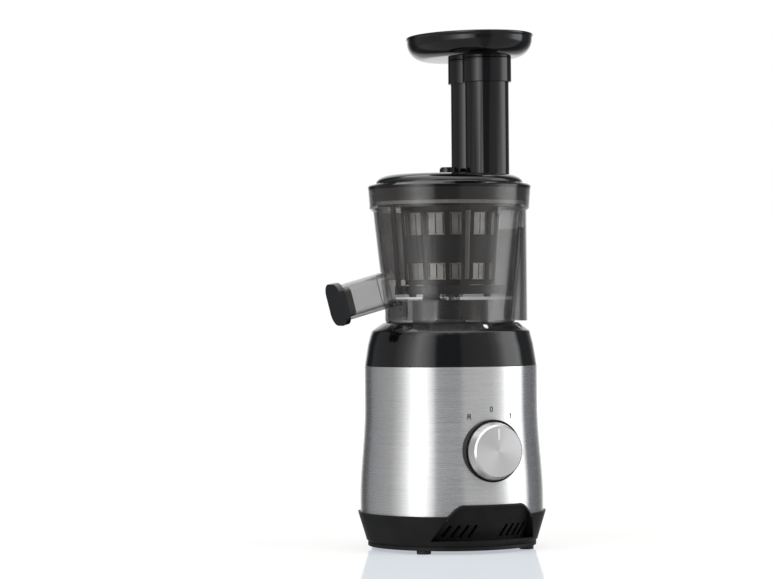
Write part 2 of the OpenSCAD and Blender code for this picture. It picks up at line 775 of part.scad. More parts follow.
module gearbox_cover() color("#bfc2c4") difference() {
    z0 = box_z + box_h;
    union() {
        translate([0, 0, z0]) cylinder(r = box_r, h = 3);
        translate([0, 0, z0]) cylinder(r = tower_r, h = tower_z - z0);
        for (a = [0:60:300]) rotate(a) translate([tower_r - 1, -1.2, z0 + 2]) cube([14, 2.4, 18]);
    }
    translate([0, 0, z0 - 1]) cylinder(r = bush_r, h = tower_z);
    translate([0, layshaft_y, z0 - 1]) cylinder(r = axle_r, h = 3);
    for (a = box_screws) rotate(a) translate([box_screw_ring_r, 0, z0 - 1])
        cylinder(r = box_screw_r, h = 10);
}

module gearbox_screws() color("#77797c") for (a = box_screws) rotate(a)
    translate([box_screw_ring_r, 0, box_z + box_h + 3]) {
        difference() {
            cylinder(r = 3, h = 2);
            translate([0, 0, 1]) cylinder(r = 1.4, h = 2, $fn = 6);
        }
        translate([0, 0, -11]) cylinder(r = box_screw_r, h = 11 + EPS);
    }

module layshaft() color("#a5a8ab") translate([0, layshaft_y, box_z]) cylinder(r = axle_r, h = box_h + 2);

module drive_bushes() color("#c79a4b") {
    z0 = box_z + box_h;
    ring(bush_r, shaft_r + RUN, z0, z0 + 12);
    ring(bush_r, shaft_r + RUN, tower_z - 18, tower_z - 6);
}

module shaft_seal() color("#1a1a1c") ring(bush_r, shaft_r + SEAT, tower_z - 6, tower_z - 1);

module motor_rotor() color("#6f7275") at_motor() difference() {
    translate([0, 0, stator_z + 1]) cylinder(r = rotor_r, h = stator_h - 2);
    translate([0, 0, stator_z]) cylinder(r = motor_shaft_r, h = stator_h);
    for (a = [0:30:330]) rotate(a) translate([rotor_r - 4, 0, stator_z]) cylinder(r = 1.6, h = stator_h);
}

fan_z = 24;
fan_r = 30;
fan_h = 10;
fan_hub_r = 8;

module motor_shaft() color("#c3c6c8") at_motor()
    translate([0, 0, fan_z - 2]) cylinder(r = motor_shaft_r, h = first_z + gear_face + 1 - fan_z + 2);

module motor_pinion() color("#d0a24f") at_motor() translate([0, 0, first_z - 0.5]) rotate(90) difference() {
    linear_extrude(gear_face + 1) polygon(gear_outline(pinion_n, tooth, tooth, 1.2 * tooth, 0.1));
    translate([0, 0, -1]) cylinder(r = motor_shaft_r, h = gear_face + 3);
}

module cooling_fan() color("#2f3033") at_motor() difference() {
    union() {
        translate([0, 0, fan_z]) cylinder(r = fan_hub_r, h = fan_h);
        translate([0, 0, fan_z + fan_h - 1.5]) cylinder(r = fan_r, h = 1.5);
        for (i = [0:8]) rotate(40 * i + 7) translate([fan_hub_r - 1.5, -0.8, fan_z + 0.6])
            cube([fan_r - fan_hub_r, 1.6, fan_h - 1.6]);
    }
    translate([0, 0, fan_z - 1]) cylinder(r = motor_shaft_r, h = 2 * fan_h);
}

module first_gear() color("#efe9d8") translate([0, layshaft_y, first_z]) difference() {
    rotate(270 + 180 / first_n) linear_extrude(gear_face)
        polygon(gear_outline(first_n, tooth, 0.72 * tooth, 1.25 * tooth, 0.1));
    translate([0, 0, -1]) cylinder(r = axle_r + RUN, h = 20);
    for (a = [0:60:300]) rotate(a) translate([14, 0, -1]) cylinder(r = 4, h = 20);
}

module lay_pinion() color("#c9cccf") translate([0, layshaft_y, first_z + gear_face]) difference() {
    rotate(270 + 180 / pinion_n) linear_extrude(box_z + box_h - first_z - gear_face - 0.5)
        polygon(gear_outline(pinion_n, tooth, tooth, 1.2 * tooth, 0.1));
    translate([0, 0, -1]) cylinder(r = axle_r + RUN, h = 30);
}

module output_gear() color("#efe9d8") difference() {
    union() {
        translate([0, 0, last_z]) rotate(90) linear_extrude(gear_face)
            polygon(gear_outline(last_n, tooth, 0.7 * tooth, 1.25 * tooth, 0.1));
        translate([0, 0, last_z - 1]) cylinder(r = 11, h = box_z + box_h - last_z + 1 - SEAT);
    }
    translate([0, 0, last_z - 2]) cylinder(r = shaft_r, h = 30);
    for (a = [0:60:300]) rotate(a) translate([19, 0, last_z - 1]) cylinder(r = 5, h = 20);
}

module drive_shaft() color("#c3c6c8") {
    translate([0, 0, last_z - 1]) cylinder(r = shaft_r, h = hex_z - last_z + 1);
    translate([0, 0, hex_z - EPS]) cylinder(r = hex_d / 2, h = hex_top - hex_z - 1, $fn = 6);
}

// ---------------------------------------------------------------- knob

knob_back_y = bezel_floor_y + 0.6;
knob_shell = 1.6;
knob_chamfer = 1.2;
knob_draft = 2;
hub_neck_r = 7.4;

module knob_turned(points) {
    // a profile of [radius, distance in front of the axis], turned about the knob's axis
    translate([0, 0, knob_z]) rotate([90, 0, 0]) rotate_extrude() polygon(points);
}

module knob_cap() color("#c8cacc") {
    r_top = knob_r - knob_draft;
    knob_turned([[knob_r - knob_shell, knob_back_y], [knob_r, knob_back_y], [knob_r, knob_back_y + 2.5],
        [r_top, knob_face_y - knob_chamfer], [r_top - knob_chamfer, knob_face_y], [0, knob_face_y],
        [0, knob_face_y - knob_shell], [r_top - knob_shell, knob_face_y - knob_shell],
        [knob_r - knob_shell, knob_back_y + 2.5]]);
}

module knob_hub() color("#151516") difference() {
    disc_y = knob_face_y - knob_shell;
    disc_r = knob_r - knob_draft - knob_shell;
    knob_turned([[0, knob_back_y], [hub_neck_r, knob_back_y], [hub_neck_r, disc_y - knob_shell],
        [disc_r, disc_y - knob_shell], [disc_r, disc_y], [0, disc_y]]);
    along_front(knob_face_y - knob_shell - 1, front_near, 0, knob_z) circle(spindle_r);
}

pointer_w = 1.4;
pointer_low = 9.2;
pointer_high = 18.4;
module knob_pointer() color("white") along_front(knob_face_y + mark_t, knob_face_y, 0, knob_z)
    translate([0, (pointer_low + pointer_high) / 2]) rounded(pointer_w, pointer_high - pointer_low, 0.5);

module switch_spindle() color("#d8d5cc")
    along_front(knob_face_y - knob_shell - 1, switch_back_y + 3.5, 0, knob_z) circle(spindle_r);

// ---------------------------------------------------------------- bowl

module bowl_profile(inset) {
    // outer line of the bowl from its foot to the rim, moved in by the wall
    low = bowl_low_r - inset;
    polygon([[0, bowl_z], [low - 1.2, bowl_z], [low - 0.3, bowl_z + 1], [low, bowl_z + 2.4], [low, cone_z],
        [bowl_high_r - inset, neck_z], [band_r - inset, band_z - 2 + inset], [band_r - inset, band_z],
        [rim_r - inset, rim_z], [0, rim_z]]);
}

module in_spout() {
    // children drawn across the spout, with +Z out along it from its end
    translate([-spout_reach, 0, spout_end_z]) rotate([0, -spout_slope, 0]) rotate([90, 0, -90]) children();
}

spout_wall = 2.2;
spout_corner = 7;

module spout_bar(w, h, r, s0, s1) in_spout() translate([0, 0, s0]) linear_extrude(s1 - s0) rounded(w, h, r);

side_a0 = -52;
side_a1 = 66;

module sector(a0, a1, r) {
    // a wedge of the plane from a0 to a1, out to r
    polygon(concat([[0, 0]], [for (i = [0:6]) let (a = a0 + (a1 - a0) * i / 6) polar(r, a)]));
}

module bowl() color("#6e6a68", 0.55) difference() {
    union() {
        difference() {
            rotate_extrude() bowl_profile(0);
            // inside above the floor, and the open skirt below it
            intersection() {
                rotate_extrude() bowl_profile(bowl_wall);
                translate([0, 0, floor_z]) cylinder(r = 90, h = bowl_h);
            }
            translate([0, 0, bowl_z - 1])
                cylinder(r = bowl_low_r - bowl_wall, h = duct_high - bowl_z + 1);
        }
        // straight outer wall at the right-hand side
        difference() {
            intersection() {
                translate([0, 0, bowl_z + 1.2]) cylinder(r = side_r, h = neck_z + 2 - bowl_z);
                translate([0, 0, bowl_z]) linear_extrude(bowl_h) sector(side_a0, side_a1, 90);
            }
            rotate_extrude() bowl_profile(bowl_wall);
            difference() {
                translate([0, 0, bowl_z]) cylinder(r = side_r - 2, h = neck_z - bowl_z);
                rotate_extrude() bowl_profile(bowl_wall / 2);
                for (a = [side_a0, side_a1]) rotate(a) translate([bowl_low_r, 0, bowl_z + bowl_h / 2])
                    cube([40, 4, bowl_h], center = true);
            }
        }
        // hub tube round the shaft, and the ring that stands in the collar's well
        ring(hub_out, hub_in, bowl_z + 2.5, hub_top);
        ring(hub_ring_r, hub_ring_r - 2.5, bowl_z - 8, duct_high + 1);
        for (a = lug_angles) rotate(a) translate([hub_ring_r + 1, 0, bowl_z - 5.2])
            cube([4, pocket_w - 2, 4], center = true);
        // pulp duct under the floor
        translate([-pulp_w / 2, duct_back_y, duct_low])
            cube([pulp_w, pulp_joint_y - duct_back_y, duct_h]);
        // ledge under the lid's seal
        ring(band_r - bowl_wall + 0.5, bowl_high_r - bowl_wall - 1, seal_z - 2, seal_z);
        // idler's boss
        translate([idler_x, idler_y, floor_z - EPS]) cylinder(r = 5, h = layer_z - floor_z - SEAT);
        difference() {
            spout_bar(spout_w, spout_h, spout_corner, -spout_back - 3, -spout_back + spout_root_l);
            intersection() {
                rotate_extrude() bowl_profile(bowl_wall);
                translate([0, 0, floor_z]) cylinder(r = 90, h = bowl_h);
            }
            translate([0, 0, bowl_z - 1]) cylinder(r = bowl_low_r - bowl_wall, h = duct_high - bowl_z + 1);
        }
        bayonet_ribs();
    }
    translate([0, 0, bowl_z - 20]) cylinder(r = hub_in, h = 60);
    // way out to the juice spout, with a dam below the floor
    difference() {
        spout_hollow();
        translate([0, 0, bowl_z - 5]) cylinder(r = bowl_low_r + 0.6, h = floor_z - bowl_z + 5);
    }
    pulp_hollow();
    translate([0, port_arm, duct_low + duct_wall]) cylinder(r = port_r + 2 + FREE, h = 30);
    translate([idler_x, idler_y, floor_z - 1]) cylinder(r = axle_r, h = 10);
}

module spout_hollow() spout_bar(spout_in_w, spout_in_h, spout_corner - spout_wall, -spout_back - 6, 5);

module pulp_hollow() translate([-pulp_w / 2 + duct_wall, duct_back_y + duct_wall, duct_low + duct_wall])
    cube([pulp_w - 2 * duct_wall, pulp_reach, duct_h - 2 * duct_wall]);

module juice_spout() color("#6e6a68", 0.55) difference() {
    spout_bar(spout_w, spout_h, spout_corner, -spout_back + spout_root_l, 0);
    spout_hollow();
}

module pulp_spout() color("#6e6a68", 0.55) difference() {
    translate([-pulp_w / 2, pulp_joint_y, duct_low]) cube([pulp_w, pulp_reach - pulp_joint_y, duct_h]);
    pulp_hollow();
}

rib_angles = [-45, 75, 195];
rib_span = 56;
rib_h = 6.4;

module bayonet_ribs() {
    // thin raised lines inside the rim that guide the lid's tabs
    depth = 0.8;
    at = rim_r - bowl_wall - 0.5;
    for (a = rib_angles) intersection() {
        difference() {
            ring(at + 1, at - depth, rim_z - rib_h - 0.6, rim_z);
            difference() {
                ring(at + 2, at - depth - 1, rim_z - rib_h, rim_z + 1);
                for (s = [0, rib_span]) rotate(a - rib_span / 2 + s)
                    translate([at, 0, rim_z - rib_h]) cube([10, depth, 20], center = true);
            }
        }
        translate([0, 0, rim_z - 20]) linear_extrude(30)
            sector(a - rib_span / 2 - 0.4, a + rib_span / 2 + 0.4, 80);
    }
}

module bowl_hub_seal() color("#d7d7d5") difference() {
    ring(hub_in, shaft_r + SEAT, bowl_z + 2.5, bowl_z + 10);
    ring(hub_in - 0.6, shaft_r + 0.9, bowl_z + 2, bowl_z + 7);
}

module pulp_seal() color("#d7d7d5") translate([0, port_arm, 0])
    ring(port_r + 2 + FREE, port_r + 2, duct_high - 2, floor_z);

magnet_t = 4;

module lock_magnet() color("#97999c") rotate(reed_a) translate([reed_x, 0, duct_high - magnet_t])
    difference() {
        cylinder(r = 4, h = magnet_t);
        translate([0, 0, -1]) cylinder(r = 1, h = 10);
    }

module strainer_windows(z0, z1) {
    for (i = [0:11]) rotate(30 * i + 15) translate([strainer_high_r, 0, (z0 + z1) / 2])
        cube([30, 2 * strainer_low_r * sin(15) - 3, z1 - z0], center = true);
}

module strainer_frame() color("#1f2023") {
    difference() {
        rotate_extrude() polygon([[strainer_low_r - strainer_wall, strainer_z],
            [strainer_r(strainer_z), plate_z], [strainer_r(strainer_z), strainer_z],
            [strainer_high_r, strainer_top], [strainer_high_r - strainer_wall, strainer_top]]);
        strainer_windows(strainer_z + 1.5, mid_low_z);
        strainer_windows(mid_high_z, high_low_z);
    }
    difference() {
        union() {
            ring(strainer_low_r, plate_hole, plate_z, strainer_z);
            translate([0, port_arm, duct_high + 0.5]) cylinder(r = port_r + 2, h = plate_z - duct_high);
            // two pins to the bowl's floor
            for (a = [-20, 160]) rotate(a) translate([31, 0, floor_z])
                cylinder(r = 3, h = plate_z - floor_z + 1);
        }
        translate([0, port_arm, duct_high - 5]) cylinder(r = port_r, h = 40);
    }
}

module strainer_screen() color("#b4b6b8") difference() {
    r0 = strainer_low_r - strainer_wall;
    r1 = strainer_high_r - strainer_wall;
    slots = [[strainer_z + 2.5, mid_low_z - 1], [mid_high_z + 1, high_low_z - 1]];
    rotate_extrude() polygon([[r0 - screen_t, strainer_z], [r0, strainer_z], [r1, strainer_top],
        [r1 - screen_t, strainer_top]]);
    for (i = [0:35], z = slots) rotate(10 * i + 5) translate([r0, 0, (z[0] + z[1]) / 2])
        cube([16, 0.9, z[1] - z[0]], center = true);
}

module idler_pin() color("#a5a8ab") translate([idler_x, idler_y, floor_z - 1])
    cylinder(r = axle_r, h = layer_z + wiper_face - floor_z + 1.3);

// ---------------------------------------------------------------- auger

module flight(start) {
    steps = 36;
    root_t = 4;
    tip_t = 2;
    points = [for (i = [0:steps]) let (t = i / steps, z = flight_low_z + (flight_high_z - flight_low_z) * t,
        a = start + 360 * flight_turns * t, core = core_low_r + (core_high_r - core_low_r) * t,
        root = core - 2, out = strainer_r(z) - strainer_wall - screen_t - flight_gap)
        each [[root * cos(a), root * sin(a), z - root_t / 2], [out * cos(a), out * sin(a), z - tip_t / 2],
            [out * cos(a), out * sin(a), z + tip_t / 2], [root * cos(a), root * sin(a), z + root_t / 2]]];
    polyhedron(points, skin_faces(steps + 1, 4, true), convexity = 8);
}

module auger() color("#26272a") difference() {
    union() {
        rotate_extrude() polygon([[0, layer_z + wiper_face], [auger_hub_r, layer_z + wiper_face],
            [auger_hub_r, strainer_z + 0.5], [core_low_r, strainer_z + 0.5], [core_low_r, flight_low_z],
            [core_high_r, flight_high_z], [core_high_r - 3, flight_high_z + 6], [pin_r, flight_high_z + 8],
            [pin_r, pin_top - 1], [pin_r - 1, pin_top], [0, pin_top]]);
        for (s = [0, 180]) flight(s);
    }
    translate([0, 0, layer_z - 1]) cylinder(r = hub_out + FREE, h = hub_top + 0.6 - layer_z + 1);
    translate([0, 0, layer_z]) cylinder(r = bush_r, h = hex_top + 1 - layer_z);
}

module auger_socket() color("#c3c6c8") difference() {
    translate([0, 0, hex_z - 0.5]) cylinder(r = bush_r, h = hex_top - hex_z + 1.5);
    translate([0, 0, hex_z - 2]) cylinder(r = hex_d / 2 + 0.15, h = hex_top - hex_z + 2, $fn = 6);
    translate([0, 0, hex_z - 2]) cylinder(r = shaft_r + 0.2, h = 3);
}

module auger_gear() color("#e9e5d6") translate([0, 0, layer_z]) difference() {
    rotate(idler_a) linear_extrude(wiper_face)
        polygon(gear_outline(auger_n, wiper_tooth, 0.9 * wiper_tooth, 1.2 * wiper_tooth, 0.15));
    translate([0, 0, -1]) cylinder(r = hub_out + FREE, h = 20);
}

module idler_gear() color("#e9e5d6") translate([idler_x, idler_y, layer_z]) difference() {
    rotate(idler_a + 180 + 180 / idler_n) linear_extrude(wiper_face)
        polygon(gear_outline(idler_n, wiper_tooth, 0.9 * wiper_tooth, 1.2 * wiper_tooth, 0.15));
    translate([0, 0, -1]) cylinder(r = axle_r + RUN, h = 20);
}

module wiper_frame() color("#1f2023") {
    difference() {
        translate([0, 0, layer_z - 0.2]) cylinder(r = ring_out, h = wiper_face + 0.2);
        translate([0, 0, layer_z - 1]) rotate(idler_a + 180 / ring_n) linear_extrude(wiper_face + 2)
            polygon(gear_outline(ring_n, wiper_tooth, 1.2 * wiper_tooth, 0.9 * wiper_tooth, -0.15));
    }
    for (i = [0:2]) rotate(post_a + 120 * i) rotate([90, 0, 0]) linear_extrude(post_w, center = true)
        polygon([[post_r(post_z), post_z - EPS], [post_r(post_z) + post_t, post_z - EPS],
            [post_r(wiper_top) + post_t, wiper_top], [post_r(wiper_top), wiper_top]]);
    ring(post_r(wiper_top) + post_t, post_r(wiper_top), wiper_top - EPS, wiper_top + 4);
}

module wiper_blades() color("#c8c9c8") for (i = [0:2]) rotate(post_a + 120 * i) rotate([90, 0, 0])
    linear_extrude(blade_t, center = true) {
        z0 = post_z + 5;
        z1 = wiper_top - 7;
        polygon([[post_r(z0) + post_t, z0], [bowl_r(z0) - bowl_wall - 2 * FREE, z0],
            [bowl_r(z1) - bowl_wall - 2 * FREE, z1], [post_r(z1) + post_t, z1]]);
        polygon([[post_r(z0), z0], [strainer_r(z0) + FREE, z0], [strainer_r(z1) + FREE, z1],
            [post_r(z1), z1]]);
    }

// ---------------------------------------------------------------- spout cap

spout_in_w = spout_w - 2 * spout_wall;
spout_in_h = spout_h - 2 * spout_wall;
seal_s0 = -5;
seal_s1 = -2.5;

module spout_cap() color("#0d0d0e") difference() {
    union() {
        spout_bar(spout_w + 2 * cap_over, spout_h + 2 * cap_over, spout_corner + cap_over, 0, cap_t);
        spout_bar(spout_in_w - 2 * FREE, spout_in_h - 2 * FREE, 4.6, -8, EPS);
    }
    spout_bar(spout_in_w - 6, spout_in_h - 6, 3, -9, 2);
    // the seal's groove
    difference() {
        spout_bar(40, 40, 3, seal_s0, seal_s1);
        spout_bar(spout_in_w - 2, spout_in_h - 2, 4, -6, 0);
    }
}

module spout_cap_seal() color("#3c3c3e") difference() {
    spout_bar(spout_in_w - 0.5, spout_in_h - 0.5, 4.8, seal_s0, seal_s1);
    spout_bar(spout_in_w - 2, spout_in_h - 2, 4, -6, 0);
}

// ---------------------------------------------------------------- lid and tray

module lid_seal() color("#b9bab9")
    ring(band_r - bowl_wall - FREE, bowl_high_r - bowl_wall + 0.3, seal_z, seal_z + seal_h);

module tube_outline(r) {
    for (s = [-1, 1]) translate([tube_x, s * tube_lobe_y]) circle(r);
    translate([tube_x, -tube_lobe_y]) square([r, 2 * tube_lobe_y]);
}

module lid() color("#0c0c0d") difference() {
    dome = arc(dome_r - dome_w, lid_top - 7, dome_w, 7, 0, 90, 9);
    dome_in = arc(dome_r - dome_w, lid_top - 7, dome_w - lid_wall, 7 - lid_wall, 90, 0, 9);
    union() {
        rotate_extrude() polygon(concat([[skirt_r - 2.4, seal_z + seal_h], [skirt_r, seal_z + seal_h],
            [skirt_r, rim_z], [lid_r, rim_z], [lid_r, rim_z + 2.2], [lid_r - 1.4, rim_z + 3.5],
            [dome_r + 1.2, rim_z + 3.8], [dome_r, rim_z + 5]], dome, [[0, lid_top],
            [0, lid_top - lid_wall]], dome_in, [[skirt_r - 2.4, rim_z - 2]]));
        translate([0, 0, lid_top - tube_foot]) linear_extrude(tube_h + tube_foot) tube_outline(tube_r);
        // boss over the auger's pin
        translate([0, 0, rim_z + 1]) cylinder(r = boss_r, h = lid_h + 4);
        translate([0, 0, lid_top + 4]) cylinder(r = boss_r - 1, h = 2);
        // short tabs below the bayonet ribs
        for (a = rib_angles) intersection() {
            ring(skirt_r + 0.5, skirt_r - 1, seal_z + seal_h + 0.5, seal_z + seal_h + 0.5 + tab_h);
            linear_extrude(tray_z) sector(a - 14, a + 14, 90);
        }
    }
    translate([0, 0, rim_z]) linear_extrude(tube_h + 40) tube_outline(tube_r - lid_wall);
    translate([0, 0, rim_z]) cylinder(r = pin_r + SEAT, h = pin_top - rim_z + 0.6);
}

function tray_loop(inset, z, n) = [for (i = [0:n - 1]) let (a = 360 * i / n)
    [tray_cx + (tray_x / 2 - inset) * cos(a), (tray_y / 2 - inset) * sin(a), z]];

module feed_tray() color("#0c0c0d") difference() {
    n = 48;
    bend = 15;
    steps = 5;
    // outer skin from the middle of the bottom up to the lip, then the inner skin back down
    outer = [for (i = [0:steps]) let (a = 90 * i / steps) [bend * (1 - sin(a)), bend * (1 - cos(a))]];
    rings = concat([for (p = outer) tray_loop(p[0] + 0.8, tray_z + p[1], n)],
        [tray_loop(0.8, tray_top - 2.2, n), tray_loop(0, tray_top - 1.6, n),
            tray_loop(0, tray_top - 0.4, n), tray_loop(0.6, tray_top, n),
            tray_loop(0.8 + tray_wall, tray_top, n)],
        [for (i = [steps:-1:0]) let (p = outer[i])
            tray_loop(p[0] * (bend - tray_wall) / bend + 0.8 + tray_wall,
                tray_z + tray_wall + p[1] * (bend - tray_wall) / bend, n)]);
    polyhedron([for (r = rings) each r], skin_faces(len(rings), n, true), convexity = 8);
    translate([0, 0, tray_z - 2]) linear_extrude(tray_h) tube_outline(tube_r - lid_wall);
}

module tray_sleeve() color("#0c0c0d") translate([0, 0, tray_z - tray_sleeve_h])
    linear_extrude(tray_sleeve_h) difference() {
        tube_outline(tube_r + SEAT + 1.9);
        tube_outline(tube_r + SEAT);
    }

base_shell();
bottom_cover();
rubber_feet();
cover_screws();
cord_gland();
chassis();
steel_sleeve();
collar();
lock_marks();
knob_bezel();
dial_marks();
rotary_switch();
motor_stator();
stator_coils();
motor_bracket_low();
motor_bracket_high();
motor_bearings();
motor_screws();
gearbox_housing();
gearbox_cover();
gearbox_screws();
layshaft();
drive_bushes();
shaft_seal();
run_capacitor();
terminal_block();
reed_switch();
motor_rotor();
motor_shaft();
motor_pinion();
cooling_fan();
first_gear();
lay_pinion();
output_gear();
drive_shaft();
knob_cap();
knob_hub();
knob_pointer();
switch_spindle();
bowl();
juice_spout();
pulp_spout();
bowl_hub_seal();
pulp_seal();
strainer_frame();
strainer_screen();
idler_pin();
lock_magnet();
auger();
auger_socket();
auger_gear();
wiper_frame();
wiper_blades();
idler_gear();
spout_cap();
spout_cap_seal();
lid_seal();
lid();
feed_tray();
tray_sleeve();
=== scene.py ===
"""Looks of a cold press juicer: finishes, finely made pieces, studio and camera.

Everything is in metres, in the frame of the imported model: the auger turns about
Z, the knob faces -Y and the juice spout points to -X.
"""

from __future__ import annotations

import json
import logging
import math
from dataclasses import dataclass
from enum import Enum
from typing import Any, Iterable, Optional, Sequence, Union

import bmesh
import bpy
from mathutils import Matrix, Vector

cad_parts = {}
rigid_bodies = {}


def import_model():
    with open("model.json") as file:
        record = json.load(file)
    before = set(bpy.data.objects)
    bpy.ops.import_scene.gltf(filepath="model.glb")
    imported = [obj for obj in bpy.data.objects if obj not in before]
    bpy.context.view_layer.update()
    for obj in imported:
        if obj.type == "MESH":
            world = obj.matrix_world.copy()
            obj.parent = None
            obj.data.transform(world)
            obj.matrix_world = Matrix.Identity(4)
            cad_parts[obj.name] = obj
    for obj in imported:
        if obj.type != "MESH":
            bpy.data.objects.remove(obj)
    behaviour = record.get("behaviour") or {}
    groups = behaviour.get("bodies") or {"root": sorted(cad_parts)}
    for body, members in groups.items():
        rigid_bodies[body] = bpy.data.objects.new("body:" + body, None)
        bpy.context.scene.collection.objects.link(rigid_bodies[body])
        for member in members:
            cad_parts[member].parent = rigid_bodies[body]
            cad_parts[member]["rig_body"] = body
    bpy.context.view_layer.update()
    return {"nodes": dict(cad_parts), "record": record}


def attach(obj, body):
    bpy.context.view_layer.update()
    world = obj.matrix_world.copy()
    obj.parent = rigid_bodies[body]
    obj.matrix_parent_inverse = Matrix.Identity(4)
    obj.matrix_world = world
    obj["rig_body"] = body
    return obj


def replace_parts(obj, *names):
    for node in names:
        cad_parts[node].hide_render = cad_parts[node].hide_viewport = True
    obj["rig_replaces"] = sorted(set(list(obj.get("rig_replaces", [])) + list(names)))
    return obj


LOG = logging.getLogger("juicer")
MM = 0.001
# Points closer than this, in metres, are one point.
DOUBLE_GAP = 2e-6
# Faces that turn by fewer degrees than this are one flat face.
FLAT_ANGLE = 0.4
# Edges that turn by more degrees than this stay sharp.
SHARP_ANGLE = 32.0

Color = tuple[float, float, float]
Span = tuple[float, float]
Pairs = tuple[tuple[float, float], ...]
Value = Union["Wire", float, int]
Paint = Union["Wire", Color]


# ------------------------------------------------------------------ shader maths


class Wire:
    """A shader socket that takes part in Python arithmetic."""

    def __init__(self, shader: "Shader", socket: bpy.types.NodeSocket) -> None:
        """Wraps a node's output socket.

        Args:
            shader: the shader that the socket's node is in.
            socket: the output socket.
        """
        self.shader = shader
        self.socket = socket

    def math(self, operation: str, *values: Value) -> "Wire":
        """Adds a Math node.

        Args:
            operation: the Math node's operation.
            values: what goes into the node's sockets.

        Returns:
            The node's result.
        """
        return self.shader.node("ShaderNodeMath", dict(enumerate(values)), operation=operation)

    def __add__(self, other: Value) -> "Wire":
        """self + other."""
        return self.math("ADD", self, other)

    def __sub__(self, other: Value) -> "Wire":
        """self - other."""
        return self.math("SUBTRACT", self, other)

    def __mul__(self, other: Value) -> "Wire":
        """self * other."""
        return self.math("MULTIPLY", self, other)

    def __rsub__(self, other: Value) -> "Wire":
        """other - self."""
        return self.math("SUBTRACT", other, self)

    __radd__ = __add__
    __rmul__ = __mul__

    def power(self, exponent: Value) -> "Wire":
        """self raised to an exponent."""
        return self.math("POWER", self, exponent)

    def clamp(self, low: float, high: float) -> "Wire":
        """self held between low and high."""
        return self.math("MINIMUM", self.math("MAXIMUM", self, low), high)

    def step(self, low: float, high: float) -> "Wire":
        """A soft step from 0 at low to 1 at high."""
        sockets = {"Value": self, "From Min": low, "From Max": high}
        return self.shader.node("ShaderNodeMapRange", sockets, interpolation_type="SMOOTHSTEP")

    def swing(self, span: float) -> "Wire":
        """A swing about 0, as wide as the span, while self goes from 0 to 1."""
        return (self - 0.5) * span


class Shader:
    """A node tree under construction, for a material or for the world."""

    def __init__(self, tree: bpy.types.NodeTree) -> None:
        """Clears the tree.

        Args:
            tree: the node tree to fill.
        """
        self.tree = tree
        tree.nodes.clear()

    def raw(self, kind: str, sockets: Optional[dict[Any, Any]] = None,
            **settings: Any) -> bpy.types.Node:
        """Adds a node.

        Args:
            kind: the node's type.
            sockets: the value, or the wire, for each input socket by name or number.
            settings: the node's own settings, set first; stops are a ramp's pairs of
                place and colour.

        Returns:
            The new node.
        """
        node = self.tree.nodes.new(kind)
        for key, value in settings.items():
            if key != "stops":
                setattr(node, key, value)
                continue
            ramp = node.color_ramp
            while len(ramp.elements) < len(value):
                ramp.elements.new(0.5)
            for element, (place, color) in zip(ramp.elements, value):
                element.position = place
                element.color = (*color, 1)
        for key, value in (sockets or {}).items():
            socket = node.inputs[key]
            if isinstance(value, Wire):
                self.tree.links.new(value.socket, socket)
            elif isinstance(value, tuple) and len(value) == 3 and socket.type == "RGBA":
                socket.default_value = (*value, 1)
            else:
                socket.default_value = value
        return node

    def node(self, kind: str, sockets: Optional[dict[Any, Any]] = None,
             out: Union[int, str] = 0, **settings: Any) -> Wire:
        """Adds a node and gives one of its outputs.

        Args:
            kind: the node's type.
            sockets: the value, or the wire, for each input socket.
            out: the output's name or number.
            settings: the node's own settings.

        Returns:
            The output as a wire.
        """
        return Wire(self, self.raw(kind, sockets, **settings).outputs[out])

    def place(self, scale: Sequence[float] = (1, 1, 1),
              shift: Sequence[float] = (0, 0, 0)) -> Wire:
        """Object coordinates, stretched and moved.

        Args:
            scale: the pattern's repeats per metre along each axis.
            shift: what is added after the stretch.

        Returns:
            The vector.
        """
        here = self.node("ShaderNodeTexCoord", out="Object")
        sockets = {"Vector": here, "Scale": tuple(scale), "Location": tuple(shift)}
        return self.node("ShaderNodeMapping", sockets)

    def grain(self, where: Wire, detail: float = 2.0, rough: float = 0.5) -> Wire:
        """A noise from 0 to 1 that repeats about once per unit of a vector.

        Args:
            where: the vector.
            detail: the noise's octaves beyond the first.
            rough: the weight of the finer octaves.

        Returns:
            The noise's value.
        """
        sockets = {"Vector": where, "Scale": 1.0, "Detail": detail, "Roughness": rough}
        return self.node("ShaderNodeTexNoise", sockets)

    def noise(self, scale: Sequence[float], detail: float = 2.0, rough: float = 0.5) -> Wire:
        """A noise from 0 to 1 on Object coordinates.

        Args:
            scale: repeats per metre along each axis.
            detail: the noise's octaves beyond the first.
            rough: the weight of the finer octaves.

        Returns:
            The noise's value.
        """
        return self.grain(self.place(scale), detail, rough)

    def blend(self, factor: Value, first: Paint, second: Paint) -> Wire:
        """Mixes two colours.

        Args:
            factor: 0 for the first, 1 for the second.
            first: a colour or a wire.
            second: a colour or a wire.

        Returns:
            The mixed colour.
        """
        pair = {k: (v if isinstance(v, Wire) else (*v, 1)) for k, v in ((6, first), (7, second))}
        return self.node("ShaderNodeMix", {0: factor, **pair}, out=2, data_type="RGBA")


def shade(color: Color, share: float) -> Color:
    """A colour with each of its channels times a share."""
    return tuple(share * c for c in color)


# ------------------------------------------------------------------ finishes


@dataclass(frozen=True)
class Skin:
    """What varies over a finish: sockets of the Principled shader, and a bump."""

    sockets: dict[str, Wire]
    height: Wire
    depth: float


